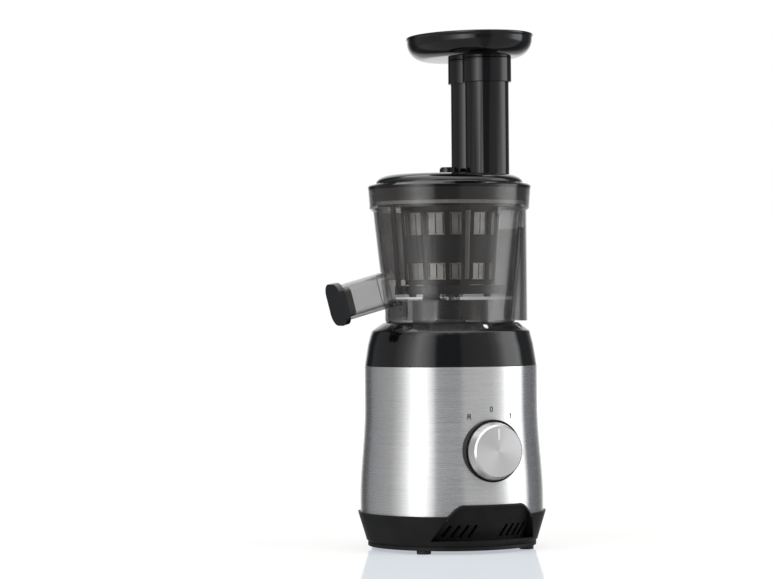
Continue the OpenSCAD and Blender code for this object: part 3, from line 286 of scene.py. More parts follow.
@dataclass(frozen=True)
class Finish:
    """What all finishes have; each kind of finish adds a skin."""

    name: str
    color: Color
    roughness: float = 0.5
    metallic: float = 0.0
    specular: float = 0.5
    coat: float = 0.0
    coat_roughness: float = 0.04

    def skin(self, s: Shader) -> Skin:
        """What varies over the surface, which each kind of finish makes its own way.

        Args:
            s: the shader to build in.

        Returns:
            The skin.
        """
        raise NotImplementedError(self.name)

    def fixed(self) -> dict[str, float]:
        """Sockets of this kind of finish alone that are the same all over."""
        return {}

    def build(self) -> bpy.types.Material:
        """Makes the material once, and gives it again after that.

        Returns:
            The material.
        """
        title = self.name + "_finish"
        found = bpy.data.materials.get(title)
        if found:
            return found
        material = bpy.data.materials.new(title)
        material.use_nodes = True
        s = Shader(material.node_tree)
        skin = self.skin(s)
        bump = {"Height": skin.height, "Strength": 1.0, "Distance": skin.depth}
        sockets = {
            "Base Color": self.color, "Roughness": self.roughness, "Metallic": self.metallic,
            "Specular IOR Level": self.specular, "Coat Weight": self.coat,
            "Coat Roughness": self.coat_roughness, **self.fixed(), **skin.sockets,
            "Normal": s.node("ShaderNodeBump", bump)}
        surface = s.node("ShaderNodeBsdfPrincipled", sockets)
        s.raw("ShaderNodeOutputMaterial", {"Surface": surface})
        return material


@dataclass(frozen=True)
class Moulded(Finish):
    """Plastic from a mould with a fine eroded grain."""

    grain: float = 2600.0
    depth: float = 0.00002
    mottle: float = 55.0
    shades: Span = (0.82, 1.12)
    wear: float = 0.12
    tooth: float = 0.1

    def skin(self, s: Shader) -> Skin:
        """Grain, soft wear and a faint mottle.

        Args:
            s: the shader to build in.

        Returns:
            The skin.
        """
        grain = s.noise((self.grain,) * 3)
        cloud = s.noise((self.mottle,) * 3, detail=4, rough=0.6)
        dark, light = (shade(self.color, share) for share in self.shades)
        color = s.blend(cloud.step(0.3, 0.7), dark, light)
        dull = self.roughness + cloud.swing(self.wear) + grain.swing(self.tooth)
        return Skin({"Base Color": color, "Roughness": dull}, grain, self.depth)


@dataclass(frozen=True)
class Polished(Finish):
    """Gloss plastic: nearly flat, with a slight flow of the mould and a little dust."""

    depth: float = 0.0001
    dust_color: Color = (0.09, 0.09, 0.09)
    dust_cover: float = 0.25
    dust_dull: float = 0.12
    haze_dull: float = 0.05

    def skin(self, s: Shader) -> Skin:
        """Flow waves, hazy patches and dust.

        Args:
            s: the shader to build in.

        Returns:
            The skin.
        """
        flow = s.noise((26, 26, 14))
        dust = s.noise((1900, 1900, 1900), detail=1).step(0.7, 0.78)
        haze = s.noise((40, 40, 22), detail=4, rough=0.65).step(0.45, 0.8)
        color = s.blend(dust * self.dust_cover, self.color, self.dust_color)
        dull = self.roughness + haze * self.haze_dull + dust * self.dust_dull
        return Skin({"Base Color": color, "Roughness": dull}, flow, self.depth)


@dataclass(frozen=True)
class Brushed(Finish):
    """Sheet steel brushed around the housing."""

    depth: float = 0.000008
    dark: float = 0.80
    shares: Span = (0.7, 0.3)
    scratched: float = 0.16
    stained: float = 0.05

    def fixed(self) -> dict[str, float]:
        """Reflections that spread across the scratches."""
        return {"Anisotropic": 1.0, "Anisotropic Rotation": 0.25}

    def skin(self, s: Shader) -> Skin:
        """Fine and coarse scratches that run level, and a faint stain.

        Args:
            s: the shader to build in.

        Returns:
            The skin.
        """
        fine = s.noise((16, 16, 5200), rough=0.6)
        coarse = s.noise((11, 11, 1100), detail=3, rough=0.6)
        stain = s.noise((14, 14, 10), detail=3)
        lines = fine * self.shares[0] + coarse * self.shares[1]
        color = s.blend(lines.step(0.2, 0.7), shade(self.color, self.dark), self.color)
        dull = self.roughness + lines.swing(self.scratched) + stain.swing(self.stained)
        return Skin({"Base Color": color, "Roughness": dull}, lines, self.depth)


@dataclass(frozen=True)
class Spun(Finish):
    """Metal turned on a lathe about an axis that runs along Y, at a height in metres, with a
    painted sheen in its base colour.
    """

    height: float = 0.083
    depth: float = 0.000008
    # The dim end of the base colour, whose tone is mostly painted sheen.
    dark: float = 0.78
    pitch: float = 5200.0
    # The turn of the painted sheen's bright sectors, in radians.
    lean: float = -1.05
    spokes: float = 9.0
    # The weights of painted sheen, rays and rings in the tone.
    shares: tuple[float, float, float] = (0.75, 0.35, 0.2)
    ringed: float = 0.14

    def skin(self, s: Shader) -> Skin:
        """Fine rings, faint rays, and a painted sheen: base colour lighter in two opposite sectors
        and darker between them, standing in for the highlight of turned metal.

        Args:
            s: the shader to build in.

        Returns:
            The skin.
        """
        here = s.place((1, 0, 1), (0, 0, -self.height))
        radius = s.node("ShaderNodeVectorMath", {0: here}, out="Value", operation="LENGTH")
        line = s.node("ShaderNodeCombineXYZ", {0: radius * self.pitch, 1: 0.0, 2: 0.0})
        rings = s.grain(line)
        ways = s.raw("ShaderNodeSeparateXYZ", {0: here})
        across, up = (Wire(s, ways.outputs[i]) for i in (0, 2))
        turn = up.math("ARCTAN2", up, across)
        # Painted sheen: lighter and darker sectors by the angle about the axis, standing in for
        # the highlight of turned metal.
        painted_sheen = turn.math("COSINE", turn * 2 + self.lean) * 0.5 + 0.5
        wheel = {0: turn.math("COSINE", turn) * self.spokes,
                 1: turn.math("SINE", turn) * self.spokes, 2: 0.0}
        rays = s.grain(s.node("ShaderNodeCombineXYZ", wheel))
        # The tone that sets the base colour is mostly painted sheen, with rays and rings.
        tone = painted_sheen * self.shares[0] + rays * self.shares[1] + rings * self.shares[2]
        color = s.blend(tone.step(0.1, 1.1), shade(self.color, self.dark), self.color)
        dull = self.roughness + rings.swing(self.ringed)
        return Skin({"Base Color": color, "Roughness": dull}, rings, self.depth)


@dataclass(frozen=True)
class Ground(Finish):
    """Metal that is ground, etched or cast."""

    scale: Sequence[float] = (500, 500, 4000)
    depth: float = 0.00001
    dark: float = 0.72
    marked: float = 0.18

    def skin(self, s: Shader) -> Skin:
        """Tool marks and a light tarnish.

        Args:
            s: the shader to build in.

        Returns:
            The skin.
        """
        marks = s.noise(self.scale, rough=0.6)
        tarnish = s.noise((80, 80, 80), detail=4, rough=0.6)
        color = s.blend(tarnish.step(0.35, 0.75), self.color, shade(self.color, self.dark))
        dull = self.roughness + marks.swing(self.marked)
        return Skin({"Base Color": color, "Roughness": dull}, marks, self.depth)


@dataclass(frozen=True)
class Layered(Finish):
    """Thin layers stacked along Z: sheets of a motor's pack, or turns of wire."""

    pitch: float = 0.0005
    depth: float = 0.00004
    dark: float = 0.45
    even: float = 0.6
    uneven: float = 0.6
    rubbed: float = 0.2

    def skin(self, s: Shader) -> Skin:
        """A sawtooth of layers with dark joints.

        Args:
            s: the shader to build in.

        Returns:
            The skin.
        """
        here = s.node("ShaderNodeSeparateXYZ", {0: s.place()}, out=2)
        wave = here.math("PINGPONG", here, self.pitch / 2) * (2 / self.pitch)
        patchy = s.noise((60, 60, 900))
        bright = wave.step(0.0, 0.5) * (self.even + patchy * self.uneven)
        color = s.blend(bright, shade(self.color, self.dark), self.color)
        dull = self.roughness + patchy.swing(self.rubbed)
        return Skin({"Base Color": color, "Roughness": dull}, wave, self.depth)


@dataclass(frozen=True)
class Smoky(Finish):
    """See-through plastic, denser where it is looked at along its wall."""

    clear: float = 0.24
    edge: float = 0.96
    bend: float = 1.5
    depth: float = 0.0002
    scuffed: float = 0.02
    scuff_dull: float = 0.12

    def skin(self, s: Shader) -> Skin:
        """Opacity that grows towards the outline, flow lines and light scuffs.

        Args:
            s: the shader to build in.

        Returns:
            The skin.
        """
        facing = s.node("ShaderNodeLayerWeight", {"Blend": 0.5}, out="Facing")
        scuff = s.noise((240, 240, 60), detail=4, rough=0.65).step(0.62, 0.8)
        flow = s.noise((18, 18, 7))
        thick = facing.power(self.bend) * (self.edge - self.clear)
        alpha = (self.clear + thick + scuff * self.scuffed).clamp(0, 1)
        dull = self.roughness + scuff * self.scuff_dull
        return Skin({"Alpha": alpha, "Roughness": dull}, flow, self.depth)


@dataclass(frozen=True)
class Printed(Finish):
    """Ink on a surface."""

    depth: float = -0.000004
    faded: float = 0.85
    worn: float = 0.1

    def skin(self, s: Shader) -> Skin:
        """Ink that is a little thin in places.

        Args:
            s: the shader to build in.

        Returns:
            The skin.
        """
        thin = s.noise((2400, 2400, 2400)).step(0.5, 0.8)
        color = s.blend(thin, self.color, shade(self.color, self.faded))
        dull = self.roughness + thin * self.worn
        return Skin({"Base Color": color, "Roughness": dull}, thin, self.depth)


class Finishes(Enum):
    """Every finish of the juicer, each under the material slot that it stands for."""

    base_plastic = Moulded("base_plastic", (0.0145, 0.0148, 0.0155), 0.45, specular=0.12)
    foot_rubber = Moulded("foot_rubber", (0.018, 0.018, 0.019), 0.8, grain=1800)
    gland_rubber = Moulded("gland_rubber", (0.02, 0.02, 0.021), 0.7, grain=1800)
    screw_steel = Ground("screw_steel", (0.55, 0.56, 0.58), 0.32, 1.0)
    chassis_plastic = Moulded("chassis_plastic", (0.035, 0.035, 0.038), 0.6)
    sleeve_steel = Brushed("sleeve_steel", (0.70, 0.705, 0.71), 0.27, 0.87)
    gloss_black = Polished("gloss_black", (0.0025, 0.0025, 0.0027), 0.07)
    white_print = Printed("white_print", (0.86, 0.86, 0.85), 0.5)
    dark_print = Printed("dark_print", (0.035, 0.035, 0.038), 0.45)
    switch_plastic = Moulded("switch_plastic", (0.72, 0.68, 0.58), 0.45)
    can_aluminium = Ground("can_aluminium", (0.74, 0.73, 0.70), 0.3, 1.0)
    reed_plastic = Moulded("reed_plastic", (0.04, 0.04, 0.045), 0.5)
    pack_steel = Layered("pack_steel", (0.42, 0.43, 0.45), 0.45, 0.9)
    copper_wire = Layered("copper_wire", (0.72, 0.33, 0.14), 0.3, 0.85, pitch=0.0008)
    cast_aluminium = Ground("cast_aluminium", (0.60, 0.61, 0.63), 0.48, 1.0,
                            scale=(900, 900, 900), depth=0.00004)
    bronze = Ground("bronze", (0.68, 0.46, 0.20), 0.4, 1.0)
    shaft_steel = Ground("shaft_steel", (0.66, 0.67, 0.69), 0.22, 1.0)
    seal_rubber = Moulded("seal_rubber", (0.02, 0.02, 0.022), 0.6, grain=1500)
    fan_plastic = Moulded("fan_plastic", (0.04, 0.04, 0.045), 0.5)
    gear_nylon = Moulded("gear_nylon", (0.80, 0.77, 0.68), 0.4)
    knob_aluminium = Spun("knob_aluminium", (0.80, 0.80, 0.81), 0.30, 1.0)
    knob_plastic = Polished("knob_plastic", (0.006, 0.006, 0.007), 0.2)
    smoky_plastic = Smoky("smoky_plastic", (0.040, 0.036, 0.034), 0.04, specular=1.0, coat=0.6)
    clear_silicone = Moulded("clear_silicone", (0.50, 0.49, 0.47), 0.45, grain=1200)
    cap_rubber = Moulded("cap_rubber", (0.015, 0.015, 0.016), 0.4, grain=1200)
    inner_black = Moulded("inner_black", (0.022, 0.022, 0.024), 0.34)
    screen_steel = Ground("screen_steel", (0.80, 0.78, 0.75), 0.5, 0.6, scale=(700, 700, 700))
    magnet = Ground("magnet", (0.70, 0.70, 0.72), 0.18, 1.0)
    auger_plastic = Polished("auger_plastic", (0.012, 0.012, 0.014), 0.22)


# ------------------------------------------------------------------ mesh tools


@dataclass(frozen=True)
class Corner:
    """A corner of a section, in millimetres, with the radius of its fillet."""

    r: float
    z: float
    fillet: float = 0.0


def rounded(corners: Sequence[Corner], steps: int = 5,
            most: float = 0.48) -> list[tuple[float, float]]:
    """Rounds the corners of a closed section.

    Args:
        corners: the section's corners in order.
        steps: the straight steps of each fillet.
        most: the share of a side that one fillet may take up.

    Returns:
        The section's points in millimetres.
    """
    points: list[tuple[float, float]] = []
    spots = [Vector((corner.r, corner.z)) for corner in corners]
    for i, (corner, here) in enumerate(zip(corners, spots)):
        before, after = spots[i - 1] - here, spots[(i + 1) % len(spots)] - here
        if corner.fillet <= 0:
            points.append((here.x, here.y))
            continue
        half = before.angle(after) / 2
        reach = min(corner.fillet / math.tan(half), most * before.length, most * after.length)
        start, end = here + before.normalized() * reach, here + after.normalized() * reach
        for k in range(steps + 1):
            t = k / steps
            point = start * (1 - t) ** 2 + here * 2 * t * (1 - t) + end * t ** 2
            points.append((point.x, point.y))
    return points


def looped(shell: bmesh.types.BMesh,
           verts: list[bmesh.types.BMVert]) -> list[bmesh.types.BMEdge]:
    """Joins points in order to a closed loop of edges.

    Args:
        shell: the mesh.
        verts: the points.

    Returns:
        The loop's edges.
    """
    return [shell.edges.new((a, b)) for a, b in zip(verts, verts[1:] + verts[:1])]


def spun(points: Sequence[tuple[float, float]], steps: int = 144) -> bmesh.types.BMesh:
    """Turns a closed section about Z.

    Args:
        points: radius and height of each point, in millimetres.
        steps: the straight steps of the full turn.

    Returns:
        A closed shell in metres.
    """
    shell = bmesh.new()
    verts = [shell.verts.new((r * MM, 0, z * MM)) for r, z in points]
    bmesh.ops.spin(shell, geom=verts + looped(shell, verts), cent=(0, 0, 0), axis=(0, 0, 1),
                   angle=2 * math.pi, steps=steps, use_merge=True, use_duplicate=False)
    clean(shell)
    return shell


def clean(shell: bmesh.types.BMesh) -> None:
    """Merges doubles, drops flat faces and turns the normals outwards.

    Args:
        shell: the mesh.
    """
    bmesh.ops.remove_doubles(shell, verts=shell.verts[:], dist=DOUBLE_GAP)
    bmesh.ops.dissolve_degenerate(shell, edges=shell.edges[:], dist=DOUBLE_GAP)
    bmesh.ops.recalc_face_normals(shell, faces=shell.faces[:])


def softened(thing: bpy.types.Object, angle: float, edge: float) -> None:
    """Bevels the sharp edges of an object and applies the bevel.

    Args:
        thing: the object.
        angle: edges that turn by more degrees than this are bevelled.
        edge: the bevel's width in metres.
    """
    bevel = thing.modifiers.new("edge", "BEVEL")
    bevel.width = edge
    bevel.segments = 2
    bevel.limit_method = "ANGLE"
    bevel.angle_limit = math.radians(angle)
    bevel.use_clamp_overlap = True
    bevel.harden_normals = True
    bevel.material = -1
    graph = bpy.context.evaluated_depsgraph_get()
    mesh = bpy.data.meshes.new_from_object(thing.evaluated_get(graph))
    thing.modifiers.clear()
    thing.data = mesh


def painted(thing: bpy.types.Object, finish: Finishes) -> None:
    """Gives an object one finish, and no other."""
    thing.data.materials.clear()
    thing.data.materials.append(finish.value.build())


def piece(name: str, shell: bmesh.types.BMesh, body: str, finish: Finishes,
          nodes: Iterable[str], angle: float = SHARP_ANGLE,
          edge: float = 0.0) -> bpy.types.Object:
    """Makes a finished piece of a mesh.

    Args:
        name: the piece's name.
        shell: its mesh, which is used up.
        body: the body that it rides on.
        finish: its finish.
        nodes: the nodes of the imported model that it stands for.
        angle: edges that turn by more degrees than this stay sharp.
        edge: the width of the bevel on such edges, in metres.

    Returns:
        The object.
    """
    mesh = bpy.data.meshes.new(name)
    shell.to_mesh(mesh)
    shell.free()
    thing = bpy.data.objects.new(name, mesh)
    bpy.context.scene.collection.objects.link(thing)
    mesh.shade_smooth()
    mesh.set_sharp_from_angle(angle=math.radians(angle))
    if edge:
        softened(thing, angle, edge)
    painted(thing, finish)
    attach(thing, body)
    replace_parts(thing, *nodes)
    LOG.info("piece %s on %s: %d faces", name, body, len(thing.data.polygons))
    return thing


def refined(node: bpy.types.Object, finish: Finishes, edge: float) -> bpy.types.Object:
    """A merged and softened copy of a node, which takes the node's place.

    Args:
        node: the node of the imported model.
        finish: its finish.
        edge: the width of the bevel on its edges, in metres.

    Returns:
        The piece.
    """
    shell = bmesh.new()
    shell.from_mesh(node.data)
    bmesh.ops.remove_doubles(shell, verts=shell.verts[:], dist=DOUBLE_GAP)
    bmesh.ops.dissolve_limit(shell, angle_limit=math.radians(FLAT_ANGLE), verts=shell.verts[:],
                             edges=shell.edges[:], use_dissolve_boundaries=False)
    return piece(node.name + "_fine", shell, node["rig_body"], finish, [node.name], edge=edge)


# ------------------------------------------------------------------ pieces


@dataclass
class Tray:
    """The oval dish on top, one smooth shell with the feed hole through its floor.

    The sizes are in millimetres. The lip's points are how far each lies inside the
    dish's outline and below its top.
    """

    center_x: float = 19.5
    half_x: float = 48.5
    half_y: float = 66.0
    low: float = 404.0
    top: float = 423.0
    wall: float = 2.2
    foot_inset: float = 0.8
    bend: float = 15.0
    bend_steps: int = 12
    lip: Pairs = ((0.7, 2.6), (0.15, 2.0), (0.0, 1.3), (0.1, 0.6), (0.6, 0.1), (1.1, 0.0),
                  (2.2, 0.2), (2.9, 1.0))
    lobe_x: float = 29.1
    lobe_y: float = 13.1
    hole_r: float = 15.6
    steps: int = 144
    sharp: float = 40.0

    def ring(self, shell: bmesh.types.BMesh, inset: float, z: float) -> list[bmesh.types.BMEdge]:
        """An oval loop of edges.

        Args:
            shell: the mesh.
            inset: how far the loop lies inside the dish's outline.
            z: its height.

        Returns:
            The loop's edges.
        """
        made = bmesh.ops.create_circle(shell, segments=self.steps, radius=1.0)["verts"]
        size = ((self.half_x - inset) * MM, (self.half_y - inset) * MM, 1)
        bmesh.ops.scale(shell, vec=size, verts=made)
        bmesh.ops.translate(shell, vec=(self.center_x * MM, 0, z * MM), verts=made)
        return list({edge for vert in made for edge in vert.link_edges})

    def hole(self, shell: bmesh.types.BMesh, z: float) -> list[bmesh.types.BMEdge]:
        """The outline of the feed tube's bore, two lobes side by side, as a loop of edges.

        Args:
            shell: the mesh.
            z: its height.

        Returns:
            The loop's edges.
        """
        inner = math.degrees(math.asin(self.lobe_y / self.hole_r))
        count = self.steps // 3
        turns = [math.radians((180 + inner) * k / count) for k in range(count + 1)]
        path = [(self.lobe_x + self.hole_r * math.cos(a), self.lobe_y + self.hole_r * math.sin(a))
                for a in turns]
        path += [(x, -y) for x, y in reversed(path[:-1])]
        return looped(shell, [shell.verts.new((x * MM, y * MM, z * MM)) for x, y in path])

    def flank(self, inset: float, low: float, bend: float) -> list[tuple[float, float]]:
        """The quarter turn from the dish's floor up to its side.

        Args:
            inset: how far the side lies inside the dish's outline.
            low: the floor's height.
            bend: the turn's radius.

        Returns:
            The inset and the height of each loop.
        """
        turns = [math.radians(90 * k / self.bend_steps) for k in range(self.bend_steps + 1)]
        return [(inset + bend * (1 - math.sin(a)), low + bend * (1 - math.cos(a)))
                for a in turns]

    def build(self) -> bpy.types.Object:
        """Makes the dish.

        Returns:
            The piece.
        """
        shell = bmesh.new()
        outer = self.flank(self.foot_inset, self.low, self.bend)
        inner = self.flank(self.foot_inset + self.wall, self.low + self.wall,
                           self.bend - self.wall)
        lip = [(inset, self.top - drop) for inset, drop in self.lip]
        loops = [self.ring(shell, inset, z) for inset, z in outer + lip + inner[::-1]]
        holes = [self.hole(shell, self.low), self.hole(shell, self.low + self.wall)]
        for first, second in list(zip(loops, loops[1:])) + [(holes[0], holes[1])]:
            bmesh.ops.bridge_loops(shell, edges=first + second)
        for loop, hole in ((loops[0], holes[0]), (loops[-1], holes[1])):
            bmesh.ops.triangle_fill(shell, edges=loop + hole, use_beauty=True)
        clean(shell)
        return piece("feed_tray_dish", shell, "tray", Finishes.gloss_black, ["feed_tray"],
                     self.sharp)


@dataclass
class Knob:
    """The turned cap of the speed knob, in millimetres; the last sizes are its fillets."""

    height: float = 83.0
    back: float = 73.3
    face: float = 84.2
    radius: float = 23.6
    draft: float = 2.0
    wall: float = 1.6
    skirt: float = 2.5
    chamfer: float = 1.25
    sharp: float = 24.0
    rim: float = 0.25
    shoulder: float = 0.8
    crisp: float = 0.12
    inner: float = 0.6

    def build(self) -> bpy.types.Object:
        """Makes the cap, a shell turned about the knob's axis.

        Returns:
            The piece.
        """
        top = self.radius - self.draft
        hollow, bore = self.face - self.wall, self.radius - self.wall
        corners = [Corner(bore, self.back), Corner(self.radius, self.back, self.rim),
                   Corner(self.radius, self.back + self.skirt, self.shoulder),
                   Corner(top, self.face - self.chamfer, self.crisp),
                   Corner(top - self.chamfer, self.face, self.crisp),
                   Corner(0, self.face), Corner(0, hollow),
                   Corner(top - self.wall, hollow, self.inner),
                   Corner(bore, self.back + self.skirt, self.inner)]
        shell = spun(rounded(corners))
        bmesh.ops.rotate(shell, cent=(0, 0, 0), matrix=Matrix.Rotation(math.pi / 2, 3, "X"),
                         verts=shell.verts[:])
        bmesh.ops.translate(shell, vec=(0, 0, self.height * MM), verts=shell.verts[:])
        return piece("knob_cap_turned", shell, "knob", Finishes.knob_aluminium, ["knob_cap"],
                     self.sharp)


# The nodes that show, under the width in metres of the bevel on their edges.
EDGES: dict[float, tuple[str, ...]] = {
    0.0: ("steel_sleeve", "strainer_screen", "chassis", "knob_pointer", "lock_marks",
          "dial_marks"),
    0.0001: ("idler_gear", "auger_gear"),
    0.0002: ("knob_hub", "wiper_frame", "wiper_blades", "auger"),
    0.0003: ("strainer_frame", "gearbox_cover", "drive_shaft"),
    0.0004: ("base_shell", "bottom_cover", "cord_gland", "knob_bezel", "bowl", "juice_spout",
             "pulp_spout", "lid_seal", "tray_sleeve", "rubber_feet"),
    0.0007: ("collar", "spout_cap"),
    0.0008: ("lid",),
}


@dataclass
class Dresser:
    """Gives every node its finish: a refined copy where it shows, the plain node elsewhere."""

    nodes: dict[str, bpy.types.Object]
    slots: dict[str, str]

    def dress(self, done: set[str]) -> None:
        """Dresses every node that no piece stands for yet.

        Args:
            done: the nodes that a piece already stands for.
        """
        edges = {name: width for width, names in EDGES.items() for name in names}
        for name, node in sorted(self.nodes.items()):
            if name in done:
                continue
            finish = Finishes[self.slots[name]]
            if name in edges:
                refined(node, finish, edges[name])
                continue
            painted(node, finish)
            LOG.info("node %s: %s", name, finish.name)


# ------------------------------------------------------------------ studio


@dataclass(frozen=True)
class Softbox:
    """A lamp that points at the object and shows in no reflection.

    Its turn is in degrees from the camera towards the camera's right, and its rise in
    degrees over the floor. Its size is its width and height, and its power is in watts.
    """

    name: str
    turn: float
    rise: float
    reach: float
    size: Span
    power: float
    aim: float = 0.2

    def hang(self, azimuth: float) -> None:
        """Hangs the lamp.

        Args:
            azimuth: the camera's azimuth in degrees.
        """
        a, b = math.radians(azimuth + self.turn), math.radians(self.rise)
        out = Vector((math.sin(a) * math.cos(b), -math.cos(a) * math.cos(b), math.sin(b)))
        data = bpy.data.lights.new(self.name, "AREA")
        data.shape = "RECTANGLE"
        data.size, data.size_y = self.size
        data.energy = self.power
        lamp = bpy.data.objects.new(self.name, data)
        lamp.matrix_world = (Matrix.Translation(out * self.reach + Vector((0, 0, self.aim)))
                             @ out.to_track_quat("Z", "Y").to_matrix().to_4x4())
        lamp.visible_glossy = False
        bpy.context.scene.collection.objects.link(lamp)


@dataclass(frozen=True)
class Table:
    """A white, faintly shining table that keeps the object's shadow.

    Only the camera sees its glow, which grows over a span of metres from the object.
    """

    half: float = 6.0
    glow: Color = (0.42, 0.455, 0.50)
    far: Span = (0.2, 2.2)
    far_gain: float = 0.9
    plain: Color = (0.24, 0.24, 0.24)
    shine: Color = (0.35, 0.31, 0.26)
    shine_roughness: float = 0.08

    def finish(self) -> bpy.types.Material:
        """Makes the table's material.

        Returns:
            The material.
        """
        material = bpy.data.materials.new("table")
        material.use_nodes = True
        s = Shader(material.node_tree)
        seen = s.node("ShaderNodeLightPath", out="Is Camera Ray")
        away = s.node("ShaderNodeVectorMath", {0: s.place()}, out="Value", operation="LENGTH")
        power = seen * (1.0 + away.step(*self.far) * self.far_gain)
        glow = s.node("ShaderNodeEmission", {"Color": self.glow, "Strength": power})
        plain = s.node("ShaderNodeBsdfDiffuse", {"Color": self.plain})
        shine = s.node("ShaderNodeBsdfGlossy",
                       {"Color": self.shine, "Roughness": self.shine_roughness})
        both = s.node("ShaderNodeAddShader", {0: plain, 1: shine})
        surface = s.node("ShaderNodeAddShader", {0: both, 1: glow})
        s.raw("ShaderNodeOutputMaterial", {"Surface": surface})
        return material

    def build(self) -> None:
        """Lays the table under the object and hides it from glossy rays."""
        shell = bmesh.new()
        bmesh.ops.create_grid(shell, x_segments=1, y_segments=1, size=self.half)
        mesh = bpy.data.meshes.new("table")
        shell.to_mesh(mesh)
        shell.free()
        table = bpy.data.objects.new("table", mesh)
        bpy.context.scene.collection.objects.link(table)
        mesh.materials.append(self.finish())
        table.visible_glossy = False


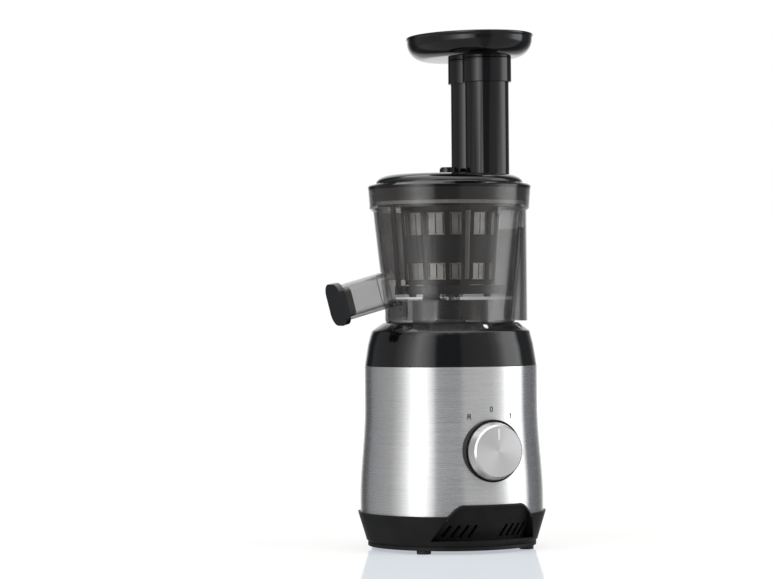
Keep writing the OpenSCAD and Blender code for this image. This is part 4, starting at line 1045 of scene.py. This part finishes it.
@dataclass(frozen=True)
class Studio:
    """Camera, lamps and the surroundings that gloss reflects.

    Three ramps give the light that comes from below, from about level and from above,
    by degrees from the camera towards its right. Each span is where one light fades
    into another, by how high a direction points. The ceiling's box has one such span
    at its low side, and two for its left and right, by how far a direction leans to
    the camera's right.
    """

    azimuth: float = -27.0
    distance: float = 2.35
    eye: float = 0.207
    focal: float = 132.6
    yaw: float = 1.29
    pitch: float = 0.16
    roll: float = 0.47
    sensor: float = 36.0
    sight: float = 50.0
    boxes: tuple[Softbox, ...] = (
        Softbox("box_left", -52, 32, 1.7, (0.9, 1.2), 13),
        Softbox("box_right", 72, 34, 1.7, (0.8, 1.2), 12),
        Softbox("box_top", 10, 78, 1.6, (1.2, 1.2), 6))
    peak: float = 3.2
    soft: float = 0.62
    ceiling: float = 2.6
    tint: Color = (0.92, 0.98, 1.08)
    tint_limit: float = 0.3
    level: Pairs = (
        (-180, 1.0), (-166, 1.0), (-158, 0.35), (-150, 0.05), (-137, 0.06), (-128, 0.24),
        (-84, 0.4), (-70, 0.85), (-58, 1.7), (-46, 3.1), (-34, 2.2), (-24, 1.1), (-19, 0.21),
        (13, 0.19), (17, 0.42), (56, 0.6), (68, 1.0), (83, 2.6), (106, 2.4), (114, 0.2),
        (140, 0.1), (156, 0.3), (166, 1.0), (180, 1.0))
    below: Pairs = (
        (-180, 0.7), (-160, 0.6), (-150, 0.08), (-137, 0.1), (-126, 0.4), (-20, 0.55),
        (-9, 0.3), (9, 0.3), (20, 0.5), (106, 0.55), (116, 0.12), (142, 0.12), (158, 0.5),
        (180, 0.7))
    above: Pairs = (
        (-180, 0.6), (-150, 0.08), (-137, 0.1), (-126, 0.5), (-108, 1.5), (0, 1.9),
        (60, 1.9), (106, 1.5), (118, 0.15), (150, 0.12), (180, 0.6))
    below_level: Span = (-0.32, -0.2)
    level_above: Span = (0.55, 0.75)
    box_left: Span = (-0.46, -0.40)
    box_right: Span = (0.30, 0.35)
    box_low: Span = (0.68, 0.74)

    def outward(self) -> Vector:
        """The level direction from the object to the camera."""
        a = math.radians(self.azimuth)
        return Vector((math.sin(a), -math.cos(a), 0))

    def rightward(self) -> Vector:
        """The level direction to the camera's right."""
        out = self.outward()
        return Vector((-out.y, out.x, 0))

    def camera(self) -> None:
        """Places the camera and makes it the scene's."""
        out, right = self.outward(), self.rightward()
        yaw, pitch = math.radians(self.yaw), math.radians(self.pitch)
        ahead = -out * math.cos(yaw) - right * math.sin(yaw)
        aim = ahead * math.cos(pitch) + Vector((0, 0, math.sin(pitch)))
        side = aim.cross(Vector((0, 0, 1))).normalized()
        turn = (Matrix((side, side.cross(aim), -aim)).transposed()
                @ Matrix.Rotation(-math.radians(self.roll), 3, "Z"))
        data = bpy.data.cameras.new("camera")
        data.sensor_width = self.sensor
        data.sensor_fit = "HORIZONTAL"
        data.lens = self.focal
        data.clip_end = self.sight
        eye = bpy.data.objects.new("camera", data)
        spot = out * self.distance + Vector((0, 0, self.eye))
        eye.matrix_world = Matrix.Translation(spot) @ turn.to_4x4()
        bpy.context.scene.collection.objects.link(eye)
        bpy.context.scene.camera = eye

    def grey(self, level: float) -> Color:
        """An even light of a level, as a share of the peak."""
        return (level / self.peak,) * 3

    def ramp(self, turn: Wire, table: Pairs) -> Wire:
        """A ramp of levels, of which the dim ones are tinted.

        Args:
            turn: 0 to 1 for -180 to 180 degrees from the camera towards its right.
            table: the degrees and the level of each stop.

        Returns:
            The ramp's colour.
        """
        stops = [(0.5 + angle / 360,
                  tuple(min(1.0, level / self.peak) * (t if level < self.tint_limit else 1.0)
                        for t in self.tint)) for angle, level in table]
        return turn.shader.node("ShaderNodeValToRGB", {0: turn}, stops=stops)

    def surroundings(self) -> None:
        """White for the camera, even for diffuse light, and boxes and flags for reflections."""
        world = bpy.data.worlds.new("studio")
        world.use_nodes = True
        world.cycles.sampling_method = "NONE"
        bpy.context.scene.world = world
        s = Shader(world.node_tree)
        ray = s.node("ShaderNodeTexCoord", out="Generated")
        ahead, aside = (s.node("ShaderNodeVectorMath", {0: ray, 1: tuple(way)}, out="Value",
                               operation="DOT_PRODUCT")
                        for way in (self.outward(), self.rightward()))
        turn = ahead.math("ARCTAN2", aside, ahead) * (0.5 / math.pi) + 0.5
        rise = s.node("ShaderNodeSeparateXYZ", {0: ray}, out=2)
        level, below, above = (self.ramp(turn, t) for t in (self.level, self.below, self.above))
        shine = s.blend(rise.step(*self.level_above),
                        s.blend(rise.step(*self.below_level), below, level), above)
        inside = (aside.step(*self.box_left) * (1.0 - aside.step(*self.box_right))
                  * rise.step(*self.box_low))
        shine = s.blend(inside, shine, self.grey(self.ceiling))
        path = s.raw("ShaderNodeLightPath")
        glossy, seen = (Wire(s, path.outputs[kind]) for kind in ("Is Glossy Ray", "Is Camera Ray"))
        tone = s.blend(seen, s.blend(glossy, self.grey(self.soft), shine), self.grey(1))
        sky = s.node("ShaderNodeBackground", {"Color": tone, "Strength": self.peak})
        s.raw("ShaderNodeOutputWorld", {0: sky})

    def build(self) -> None:
        """Builds the studio."""
        bpy.context.scene.view_settings.view_transform = "Standard"
        self.camera()
        for box in self.boxes:
            box.hang(self.azimuth)
        self.surroundings()
        Table().build()


def main() -> None:
    """Builds the looks in order."""
    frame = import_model()
    Studio().build()
    slots = {entry["node"]: entry["material_slot"] for entry in frame["record"]["subparts"]}
    made = [Tray().build(), Knob().build()]
    done = {node for thing in made for node in thing["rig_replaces"]}
    Dresser(frame["nodes"], slots).dress(done)


if __name__ == "__main__":
    logging.basicConfig(level=logging.INFO, format="%(message)s")
    main()
